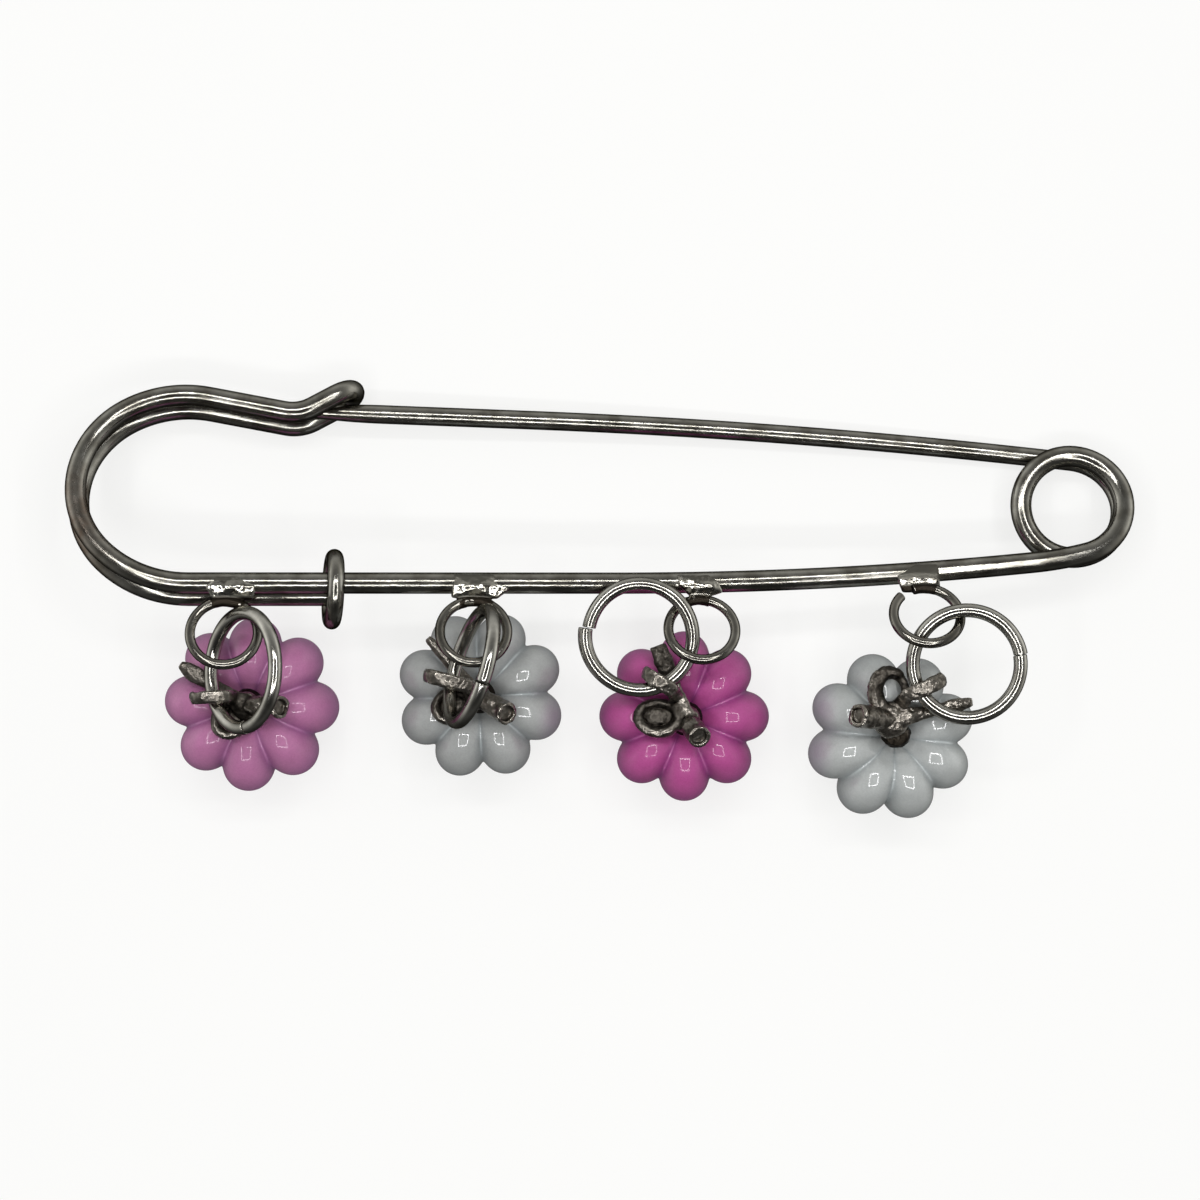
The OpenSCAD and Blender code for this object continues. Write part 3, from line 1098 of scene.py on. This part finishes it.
        # The flux attribute holds burnt flux up to 1 and painted shade above 1, under the blob.
        layer = bm.verts.layers.float.new("flux")
        for v in bm.verts:
            burnt = ring.flux * past(v.co.y, ring.flux_from, flux_edge)
            # Painted shade below the bar's lower side.
            painted_shade = min(max((self.painted_shade_from - v.co.y) / painted_shade_edge, 0.0), TIN.painted_shade_span[1])
            v[layer] = max(burnt, painted_shade)
        piece(bm, f"solder_{number}", TIN, ["pin_frame"], self.bar_pose(ring.at), crease=180)

    def collar(self) -> None:
        """Builds the collar that holds the doubled wire to the bar."""
        bm = bmesh.new()
        wire_ring(bm, self.collar_r, self.collar_wire_r, 180, 360, 40, 96)
        pose = (self.pose() @ Matrix.Translation((self.collar_at, self.rear_shift / 2, -self.rear_depth / 2))
                @ turned(90 + self.collar_lean, "Y"))
        piece(bm, "collar_ring", PIN_STEEL, ["collar"], pose)

    def build(self) -> None:
        """Builds all pieces of the pin."""
        for make in (self.wire, self.arm, self.small_rings, self.collar):
            make()


# The charms


@dataclass
class JumpRing:
    """An open jump ring of round wire with a cut gap.

    Attributes:
        number: number of the charm.
        centre: centre of the ring over the surface.
        radius: centre-line radius.
        tilt: tilt about X, then about Y, in degrees.
        gap_at: direction of the gap in degrees.
        gap: size of the gap in degrees.
        offset: how far the ends stand out of line.
        bent: degrees of wire on each side of the gap that are bent out of line.
        wire_r: radius of the wire.
    """

    number: int
    centre: tuple[float, float, float]
    radius: float
    tilt: tuple[float, float]
    gap_at: float
    gap: float
    offset: float = 0
    bent: float = 70
    wire_r: float = 0.485

    def build(self) -> None:
        """Builds the ring."""
        bm = bmesh.new()
        wire_ring(bm, self.radius, self.wire_r, self.gap_at + self.gap / 2, 360 - self.gap, 36, 150)
        for v in bm.verts:
            past = (math.degrees(math.atan2(v.co.y, v.co.x)) - self.gap_at + 180) % 360 - 180
            near = smooth(max(1 - abs(past) / self.bent, 0.0))
            v.co *= 1 + math.copysign(near, past) * self.offset / 2 / self.radius
        pose = Matrix.Translation(FRAME_SHIFT + Vector(self.centre)) @ leaning(*self.tilt)
        piece(bm, f"open_ring_{self.number}", RING_STEEL, [f"jump_ring_{self.number}"], pose)


@dataclass
class Pumpkin:
    """A resin pumpkin with eight lobes and a dimple at both poles.

    Attributes:
        number: number of the charm.
        centre: centre over the surface.
        radius: outer radius.
        turn: turn of the lobes in degrees.
        tilt: tilt about X, then about Y, in degrees.
        finish: its lacquer.
        dust_from: direction of the side that is dusted, in degrees.
        dust: strength of the dusting.
        half_height: half the height over the crests.
        lobes: number of lobes.
        lobe_out: distance of a lobe's centre from the axis, as a share of the radius.
        lobe_round: radius of a lobe's outline, as a share of the radius.
        inner: distance of the crest from the axis, as a share of the radius.
        groove: how much lower the crest is in the valleys.
        crest_share: share of the way to the pole that goes over the crest.
        rim_turn: degrees of the crest's arc before the bowl begins.
        bowl_drop: depth of the bowl, as a share of the half height.
        crowd: degrees by which the mesh crowds towards the valleys.
    """

    number: int
    centre: tuple[float, float]
    radius: float
    turn: float
    tilt: tuple[float, float]
    finish: Finish
    dust_from: float
    dust: float
    half_height: float = 3.7
    lobes: int = 8
    lobe_out: float = 0.71
    lobe_round: float = 0.29
    inner: float = 0.56
    groove: float = 1.2
    crest_share: float = 0.86
    rim_turn: float = 128
    bowl_drop: float = 0.25
    crowd: float = 1.8

    def pose(self) -> Matrix:
        """Sets the pumpkin on the surface.

        Returns:
            The matrix of its middle.
        """
        lean = math.radians(max(abs(self.tilt[0]), abs(self.tilt[1])))
        lift = self.half_height * math.cos(lean) + self.inner * self.radius * math.sin(lean)
        place = FRAME_SHIFT + Vector((*self.centre, lift))
        return Matrix.Translation(place) @ leaning(*self.tilt)

    def from_valley(self, angle: float) -> float:
        """Returns the degrees between a direction and the middle of its lobe, with a lobe at 0."""
        half = 180 / self.lobes
        return abs((angle + half) % (2 * half) - half)

    def plan(self, angle: float, soft: float) -> float:
        """Works out the outline's radius, as a share of the outer radius.

        Args:
            angle: direction in degrees, with a lobe at 0.
            soft: half width in degrees of the round bottom of the valleys.

        Returns:
            1 at the middle of a lobe and less in a valley.
        """
        half = 180 / self.lobes
        off = half - math.hypot(half - self.from_valley(angle), soft) + math.hypot(half, soft) - half
        b = math.radians(off)
        aside = self.lobe_out * math.sin(b)
        return self.lobe_out * math.cos(b) + math.sqrt(self.lobe_round ** 2 - aside ** 2)

    def profile(self, share: float) -> tuple[float, float]:
        """Works out the section of a lobe: over its crest, then down a bowl to the pole.

        Args:
            share: place from the lower pole, -1, over the equator, 0, to the upper pole, 1.

        Returns:
            Reach and height, as shares of the outer radius and of the half height.
        """
        rim = math.radians(self.rim_turn)
        turn = abs(share) / self.crest_share
        side = math.copysign(1, share)
        if turn <= 1:
            return self.inner + (1 - self.inner) * math.cos(turn * rim), side * math.sin(turn * rim)
        reach, height = self.inner + (1 - self.inner) * math.cos(rim), math.sin(rim)
        left = max(1 - abs(share), 0.0) / (1 - self.crest_share)
        return reach * left, side * (height - self.bowl_drop * (1 - left * left))

    def build(self) -> None:
        """Shapes a sphere into the pumpkin and marks its painted shade, its painted glint and its dust."""
        sides, rings = 256, 84
        valley_soft, crest_soft, valley_shade_depth = 1.2, 1.8, 0.2
        rim_start, rim_width, rim_shade_most = 0.8, 0.2, 0.75
        glint_half, glint_start, glint_length, glint_most = 1.7, 0.25, 0.65, 0.7
        dust_start, dust_width = 0.72, 0.28
        bm = bmesh.new()
        bmesh.ops.create_uvsphere(bm, u_segments=sides, v_segments=rings, radius=1)
        valley_shade, dust, painted_glint = (bm.verts.layers.float.new(name) for name in ("valley_shade", "dust", "painted_glint"))
        for v in bm.verts:
            around = math.degrees(math.atan2(v.co.y, v.co.x))
            around -= self.crowd * math.sin(math.radians(self.lobes * around + 180))
            reach, crest = self.profile(math.asin(min(max(v.co.z, -1.0), 1.0)) / (math.pi / 2))
            out = self.plan(around, valley_soft + crest_soft * crest ** 2)
            height = self.half_height * crest * (1 - self.groove * (1 - out) * math.sqrt(reach))
            way = math.radians(around + self.turn)
            v.co = (self.radius * out * reach * math.cos(way), self.radius * out * reach * math.sin(way),
                    height)
            # Painted shade: round the rim, on the underside and in the valleys.
            rim = 1.0 if crest < 0 else past(reach, rim_start, rim_width) ** 2
            v[valley_shade] = max(past(1 - out, 0, valley_shade_depth) ** 2, rim_shade_most * rim)
            # Painted glint along the valleys' floors, on the upper side.
            apart = 180 / self.lobes - self.from_valley(around)
            stretch = math.sin(math.pi * past(reach, glint_start, glint_length)) if crest > 0 else 0.0
            v[painted_glint] = glint_most * max(1 - apart / glint_half, 0.0) * stretch
            side = math.cos(way - math.radians(self.dust_from)) * reach * out
            v[dust] = self.dust * past(side, dust_start, dust_width)
        bmesh.ops.recalc_face_normals(bm, faces=bm.faces)
        piece(bm, f"pumpkin_body_{self.number}", self.finish, [f"pumpkin_{self.number}"], self.pose(),
              crease=180)


@dataclass
class StemCap:
    """A cast stem cap: plug, crown, hollow stem, leaf, curl over the jump ring, and oval loop.

    Directions are in degrees and heights are over the pumpkin's middle.

    Attributes:
        number: number of the charm.
        pose: place of the pumpkin's middle.
        leaf: direction and half width of the leaf.
        stem: direction and reach of the hollow stem.
        root: reach and direction of the curl's root.
        end: reach and direction of the curl's end.
        curl: height and half width of the curl.
        loop: reach and direction of the loop.
        rim: half width of the loop's rim.
        heavy: direction of the rim's heavier side.
        floor: whether the loop has a floor.
        shift: shift of the crown on the pumpkin.
        plug_shift: share of that shift that the plug has.
        crown_r: radius of the crown.
        plug_r: radius of the plug in the dimple.
        length: length of the leaf, as a share of the usual one.
        tip: half width of the leaf's tip.
        fold: section of the leaf, from 0.5, flat, to 2, folded along its middle.
        leaf_z: height of the leaf.
        loop_r: outer radius of the loop, along it.
        plug_shade_height: height up to which the plug is painted in shade.
        leaf_lit_share: share of its wear value that the leaf keeps; the rest is painted shade.
        loop_lit_share: share of its wear value that the inside of the loop keeps; the rest is painted shade.
        lump: size and height of the casting's large lumps.
        crumple: size and height of its small lumps.
        bm: the mesh in the making.
    """

    number: int
    pose: Matrix
    leaf: tuple[float, float]
    stem: tuple[float, float]
    root: tuple[float, float]
    end: tuple[float, float]
    curl: tuple[float, float]
    loop: tuple[float, float]
    rim: float = 0.3
    heavy: float = 250
    floor: bool = True
    shift: Vector = field(default_factory=Vector)
    plug_shift: float = 0.25
    crown_r: float = 0.9
    plug_r: float = 1.2
    length: float = 1
    tip: float = 0.25
    fold: float = 1.6
    leaf_z: float = 3.94
    loop_r: float = 1.72
    plug_shade_height: float = 3.6
    leaf_lit_share: float = 1
    loop_lit_share: float = 0.58
    lump: tuple[float, float] = (1.3, 0.07)
    crumple: tuple[float, float] = (0.5, 0.035)
    bm: BMesh = field(default_factory=bmesh.new, init=False)

    def posts(self) -> None:
        """Draws the plug in the dimple and the crown over it, from rows of height and radius."""
        plug = ((2.3, 0.25), (2.7, 0.7), (3.1, 0.95), (3.4, 1.0), (3.72, 0.8))
        crown = ((3.55, 0.85), (4.0, 1.0), (4.3, 0.9), (4.52, 0.6), (4.64, 0.3))
        for rows, radius, share in ((plug, self.plug_r, self.plug_shift), (crown, self.crown_r, 1)):
            points = [share * self.shift + Vector((0, 0, z)) for z, _ in rows]
            radii = [r * radius for _, r in rows]
            Strand(points, radii, radii, Vector((1, 0, 0)), 24).build(self.bm)

    def hollow_stem(self) -> None:
        """Draws the stem, with a hole sunk into its end and a ragged edge."""
        way, reach = self.stem
        rows = [(Vector((0, 0, 4.05)), 0.6, 0.6), (polar(reach * 0.4, way, 4.45), 0.75, 0.75),
                (polar(reach * 0.75, way, 4.8), 0.78, 0.78), (polar(reach, way, 5.4), 0.82, 0.82)]
        wall, ragged, lump = 0.27, 0.9, 1.6
        strand = eased(rows, self.shift)
        strand.up = Vector((0, 1, 0))
        mouth = strand.build(self.bm)[1]
        edge = list(mouth.verts)
        inward = strand.points[-4] - strand.points[-1]
        bmesh.ops.inset_individual(self.bm, faces=[mouth], thickness=wall, depth=0)
        grown = bmesh.ops.extrude_face_region(self.bm, geom=[mouth])["geom"]
        verts = [g for g in grown if isinstance(g, BMVert)]
        bmesh.ops.delete(self.bm, geom=[mouth], context="FACES_ONLY")
        bmesh.ops.translate(self.bm, verts=verts, vec=inward)
        for v in edge:
            v.co += inward * ragged * abs(noise.noise(v.co * lump + Vector((self.number, 0, 0))))

    def leaf_blade(self) -> None:
        """Draws the leaf that lies over the lobes, with a neck that runs on into the crown."""
        way, half = self.leaf
        reaches = (0.1, 1.2, 2.2, 3.2, 4.2, 4.9, 5.4)
        heights = (0.42, 0.36, 0.2, 0.06, 0, -0.06, -0.12)
        widths = (0.8, 0.62, 0.52, half * 0.85, half, half * 0.85, self.tip)
        thick = (0.3, 0.28, 0.24, 0.22, 0.22, 0.2, 0.12)
        rows = [(polar(r * self.length, way, self.leaf_z + h), w, t)
                for r, h, w, t in zip(reaches, heights, widths, thick)]
        blade = eased(rows, self.shift)
        blade.square = self.fold
        blade.build(self.bm)

    def curl_strip(self) -> None:
        """Draws the curl that rises from the crown and folds over the jump ring."""
        (r0, w0), (r1, w1), (top, half) = self.root, self.end, self.curl
        root, end = polar(r0, w0, top - 0.5), polar(r1, w1, top)
        places = [polar(r0 * 0.6, w0, self.leaf_z), polar(r0 * 0.85, w0, 4.8), root,
                  root.lerp(end, 0.35) + Vector((0, 0, 0.3)), root.lerp(end, 0.75) + Vector((0, 0, 0.1)),
                  end + Vector((0, 0, -0.55)), polar(r1 * 1.03, w1, self.leaf_z + 0.4)]
        widths = (1, 0.95, 1, 1.08, 1.08, 1, 0.8)
        thick = (0.3, 0.25, 0.24, 0.23, 0.23, 0.22, 0.2)
        strand = eased([(p, half * w, t) for p, w, t in zip(places, widths, thick)], self.shift)
        strand.up = polar(1, w1 + 180, 0.2)
        strand.square = 0.72
        strand.build(self.bm)

    def oval_loop(self) -> None:
        """Draws the oval loop beside the leaf: a cupped rim, with a domed floor or a hole."""
        reach, way = self.loop
        place = (Matrix.Translation(self.shift) @ turned(way, "Z")
                 @ Matrix.Translation((reach, 0, self.leaf_z + 0.08)))
        turns = [math.radians(d) for d in range(-170, 171, 10)]
        weight = [math.cos(a + math.radians(way - self.heavy)) for a in turns]
        out = self.loop_r - self.rim
        narrow, swing = (0.32, 0.15) if self.floor else (0.19, 0.4)
        rim_z, rim_rise, thick, thicker = 0.1, 0.12, 0.4, 0.05
        points = [place @ Vector((out * math.cos(a), (out - narrow) * math.sin(a), rim_z + rim_rise * w))
                  for a, w in zip(turns, weight)]
        widths = [self.rim * (1 + swing * w) for w in weight]
        Strand(points, widths, [thick + thicker * w for w in weight]).build(self.bm)
        if not self.floor:
            long, wide, back, wire_r = 1.15, 1.05, 0.1, 0.3
            low = [place @ Vector((long * math.cos(a) - back, wide * math.sin(a), 0)) for a in turns]
            round_strand(self.bm, low, [wire_r])
            return
        tray_size, tray_z, tray_h = (1.4, 1.05, 1, 1), -0.25, 0.2
        dome_size, dome_at = (0.85, 0.62, 0.28, 1), (0.1, 0, -0.1)
        tray = bmesh.ops.create_circle(self.bm, segments=36, radius=1, cap_ends=True)["verts"]
        faces = list({f for v in tray for f in v.link_faces})
        grown = bmesh.ops.extrude_face_region(self.bm, geom=faces)["geom"]
        upper = [g for g in grown if isinstance(g, BMVert)]
        bmesh.ops.translate(self.bm, verts=upper, vec=(0, 0, tray_h))
        shape = place @ Matrix.Translation((0, 0, tray_z)) @ Matrix.Diagonal(tray_size)
        bmesh.ops.transform(self.bm, matrix=shape, verts=tray + upper)
        shape = place @ Matrix.Translation(dome_at) @ Matrix.Diagonal(dome_size)
        bmesh.ops.create_uvsphere(self.bm, u_segments=24, v_segments=12, radius=1, matrix=shape)

    def paint_shade(self) -> None:
        """Paints shade into the wear value: on the plug, inside the loop, on the rim's upper side, and on
        the leaf.
        """
        wear_and_shade = self.bm.verts.layers.float["wear_and_shade"]
        reach, way = self.loop
        centre = self.shift + polar(reach, way)
        turn = Matrix.Rotation(math.radians(-way), 3, "Z")
        leaf_half, leaf_from, leaf_top = 16, 2.4, self.leaf_z + 0.55
        loop_half, loop_out, loop_top = (1.42, 1.1), 1.35, self.leaf_z + 0.8
        rim_least, rim_more, rim_start, rim_width, plug_edge = 0.55, 0.45, 0.6, 0.35, 0.3
        for v in self.bm.verts:
            # Painted shade: the plug in the dimple goes dark.
            lit_share = past(v.co.z, self.plug_shade_height, plug_edge)
            at = turn @ (v.co - centre)
            out = math.hypot(at.x / loop_half[0], at.y / loop_half[1])
            if out < loop_out and v.co.z < loop_top:
                # Painted light and shade on the rim: lighter on its lower side, darker on its upper side.
                rim = rim_least + rim_more * unit(centre.y - v.co.y)
                lit_share *= self.loop_lit_share + (rim - self.loop_lit_share) * smooth(past(out, rim_start, rim_width))
            flat = v.co - self.shift
            aside = abs(math.degrees(math.atan2(flat.y, flat.x)) - self.leaf[0])
            if aside < leaf_half and flat.xy.length > leaf_from and v.co.z < leaf_top:
                # Painted shade on the leaf.
                lit_share *= self.leaf_lit_share
            v[wear_and_shade] *= lit_share

    def build(self) -> None:
        """Builds the cap, melted into one casting."""
        for draw in (self.posts, self.hollow_stem, self.leaf_blade, self.curl_strip, self.oval_loop):
            draw()
        bmesh.ops.recalc_face_normals(self.bm, faces=self.bm.faces)
        self.bm = fused(self.bm, 4)
        roughen(self.bm, *self.lump, self.number * 7.7)
        roughen(self.bm, *self.crumple, self.number * 2.9)
        mark_wear(self.bm, 0.33)
        # Painted shade on the plug, in and round the loop, and on the leaf.
        self.paint_shade()
        piece(self.bm, f"stem_cap_{self.number}", ZINC, [f"stem_{self.number}"], self.pose, crease=180)


def charms() -> None:
    """Builds the four charms with their jump rings."""
    rings = [
        JumpRing(1, (-24.37, -4.83, 11.5), 3.93, (-3, -50), 282, 1.5),
        JumpRing(2, (-8.74, -4.53, 12.35), 3.94, (-16, -72), 345, 2),
        JumpRing(3, (2.74, -2.6, 8.94), 3.67, (2, -1.5), 170, 1.3, 0.22),
        JumpRing(4, (25.35, -4.47, 8.8), 3.72, (2, -5), 10, 0.6, 0.06),
    ]
    pumpkins = [
        Pumpkin(1, (-24.6, -7.4), 6.15, -3, (0, 0), ORCHID, 120, 0.3),
        Pumpkin(2, (-8.45, -6.75), 5.97, 25, (0, 0), PEARL_LILAC, -15, 0.5),
        Pumpkin(3, (5.95, -8.25), 6.0, 0, (0, 0), MAGENTA, -60, 0.3),
        Pumpkin(4, (20.5, -9.65), 5.98, 17, (0, 4.5), PEARL, 175, 0.45),
    ]
    poses = [p.pose() for p in pumpkins]
    caps = [
        StemCap(1, poses[0], leaf=(148, 0.62), stem=(359, 2.6), root=(1.25, 144), end=(3.45, 170),
                curl=(6.35, 0.44), loop=(1.13, 221), crown_r=1.0, fold=1.3, leaf_lit_share=0.85),
        StemCap(2, poses[1], leaf=(131, 0.42), stem=(331, 2.4), root=(0.94, 126), end=(3.75, 156.5),
                curl=(6.2, 0.48), loop=(1.71, 200)),
        StemCap(3, poses[2], leaf=(111, 0.7), stem=(306, 1.6), root=(2.1, 115), end=(4.15, 131),
                curl=(6, 0.5), loop=(1.94, 178), rim=0.36, crown_r=1.0, tip=0.6, fold=0.85,
                leaf_lit_share=0.6, crumple=(0.5, 0.05)),
        StemCap(4, poses[3], leaf=(12, 0.5), stem=(172, 2.6), root=(1.96, 60), end=(4.4, 39.5),
                curl=(5.6, 0.52), loop=(2.0, 91), rim=0.43, heavy=170, floor=False,
                shift=Vector((-0.65, 1.3, 0)), crown_r=1.3, plug_r=1.05, length=1.09, fold=1.2,
                crumple=(0.5, 0.06)),
    ]
    for charm in (*rings, *pumpkins, *caps):
        charm.build()


# Studio


@dataclass
class Studio:
    """Pale floor, lamp frame round the camera, soft fill, dim room, and the camera.

    Attributes:
        floor_size: width of the floor.
        camera_place: place of the camera.
        lens: focal length of the camera.
        strip_out: how far the lamp frame's strips stand from its middle.
        strip_size: length and width of a strip.
        strip_height: height of the strips.
        strips: name, side along X and along Y, and power in watts of each strip.
        fill_place: place of the soft fill.
        fill_size: width of the soft fill.
        fill_power: its power in watts.
        glow: light that the floor gives by itself.
        room_low: tone of the room below.
        room_level: tone of the room at eye height.
        room_high: tone of the room overhead.
        room_sides: how much brighter the room is at both sides.
    """

    floor_size: float = 4000
    camera_place: Vector = field(default_factory=lambda: Vector((-0.25, -0.12, 220)))
    lens: float = 91.7
    strip_out: float = 98
    strip_size: tuple[float, float] = (200, 16)
    strip_height: float = 222
    strips: Sequence[tuple[str, int, int, float]] = (
        ("back", 0, 1, 0.19), ("front", 0, -1, 0.17), ("left", -1, 0, 0.13), ("right", 1, 0, 0.13))
    fill_place: Vector = field(default_factory=lambda: Vector((0, 220, 380)))
    fill_size: float = 500
    fill_power: float = 0.34
    glow: float = 0.755
    room_low: float = 0.19
    room_level: float = 0.5
    room_high: float = 0.08
    room_sides: float = 2.2

    def floor(self) -> None:
        """Lays the floor of opal acrylic just under the object.

        The acrylic is even and pale, and lit a little from within, so that shadows stay faint.
        """
        gap = 0.02
        bm = bmesh.new()
        bmesh.ops.create_grid(bm, x_segments=1, y_segments=1, size=self.floor_size / 2 * MM)
        bmesh.ops.translate(bm, verts=bm.verts, vec=(0, 0, -gap * MM))
        obj = solid("floor", bm)
        made = bpy.data.materials.new("opal acrylic")
        made.use_nodes = True
        tree = made.node_tree
        place = add(tree, "TexCoord", {})["Object"]
        cloud = add(tree, "TexNoise", {"Scale": per(60), "Detail": 2.0}, place)[0]
        tone = add(tree, "Mix", {"data_type": "RGBA", 6: linear("#7c7c7b"), 7: linear("#7f7f7e")}, cloud)[2]
        fill(tree.nodes["Principled BSDF"],
             {"Base Color": tone, "Roughness": 0.9, "Specular IOR Level": 0.0,
              "Emission Color": linear("#fffffe"), "Emission Strength": self.glow})
        obj.data.materials.append(made)
        # The metal shows the dim room, as in a lightbox whose sheet ends close to the pin
        obj.visible_glossy = False

    def lamp(self, name: str, place: Vector, size: tuple[float, float], power: float,
             glossy: bool = True, target: Vector = Vector()) -> None:
        """Hangs one rectangular lamp.

        Args:
            name: name of the lamp.
            place: its centre in millimetres.
            size: its length along X and its width, in millimetres.
            power: its power in watts.
            glossy: whether it shows in reflections.
            target: place that it faces.
        """
        data = bpy.data.lights.new(name, "AREA")
        data.shape = "RECTANGLE"
        data.size, data.size_y = (s * MM for s in size)
        data.energy = power
        obj = put(name, data)
        obj.location = place * MM
        obj.rotation_mode = "QUATERNION"
        obj.rotation_quaternion = (target - place).to_track_quat("-Z", "Y")
        obj.visible_glossy = glossy
        obj.visible_camera = False

    def lamps(self) -> None:
        """Hangs the lamp frame's four strips round the camera, and the soft fill."""
        for name, x, y, power in self.strips:
            place = Vector((x * self.strip_out, y * self.strip_out, self.strip_height))
            size = self.strip_size if y else self.strip_size[::-1]
            self.lamp(f"strip_{name}", place, size, power, target=Vector((place.x, place.y, 0)))
        self.lamp("soft_fill", self.fill_place, (self.fill_size, self.fill_size), self.fill_power,
                  glossy=False)

    def room(self) -> None:
        """Makes the dim room that the metal reflects: pale at eye height and at both sides."""
        world = bpy.data.worlds.new("room")
        bpy.context.scene.world = world
        world.use_nodes = True
        tree = world.node_tree
        way = add(tree, "SeparateXYZ", {}, add(tree, "TexCoord", {})["Generated"])
        share = add(tree, "MapRange", {}, way[2], -1, 1)[0]
        tones = ((0.25, self.room_low), (0.5, self.room_level), (0.92, self.room_high))
        height = add(tree, "ValToRGB", {}, share, stops=[(at, (g, g, g, 1)) for at, g in tones])[0]
        depth = add(tree, "MapRange", {}, way[1], -0.8, 0.8, 0.15, 1.25)[0]
        sides = way[0]
        for _ in range(2):
            sides = add(tree, "Math", {"operation": "MULTIPLY"}, sides, sides)[0]
        gain = add(tree, "Math", {"operation": "MULTIPLY_ADD"}, sides, self.room_sides, 1)[0]
        front = add(tree, "Math", {"operation": "MULTIPLY"}, height, depth)[0]
        level = add(tree, "Math", {"operation": "MULTIPLY"}, front, gain)[0]
        fill(tree.nodes["Background"], {0: linear("#fffffb"), 1: level})

    def camera(self) -> None:
        """Sets the camera straight above the pin."""
        data = bpy.data.cameras.new("camera")
        data.lens, data.sensor_width = self.lens, 36
        data.clip_start, data.clip_end = 0.01, 10
        obj = put("camera", data)
        obj.location = self.camera_place * MM
        bpy.context.scene.camera = obj

    def build(self) -> None:
        """Sets up floor, lamps, room, camera and plain colour handling."""
        for make in (self.floor, self.lamps, self.room, self.camera):
            make()
        bpy.context.scene.view_settings.view_transform = "Standard"


def main() -> None:
    """Builds the pin, its charms and the studio."""
    logging.basicConfig(level=logging.INFO, format="%(name)s: %(message)s", stream=sys.stdout)
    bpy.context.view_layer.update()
    KiltPin().build()
    charms()
    Studio().build()


if __name__ == "__main__":
    main()
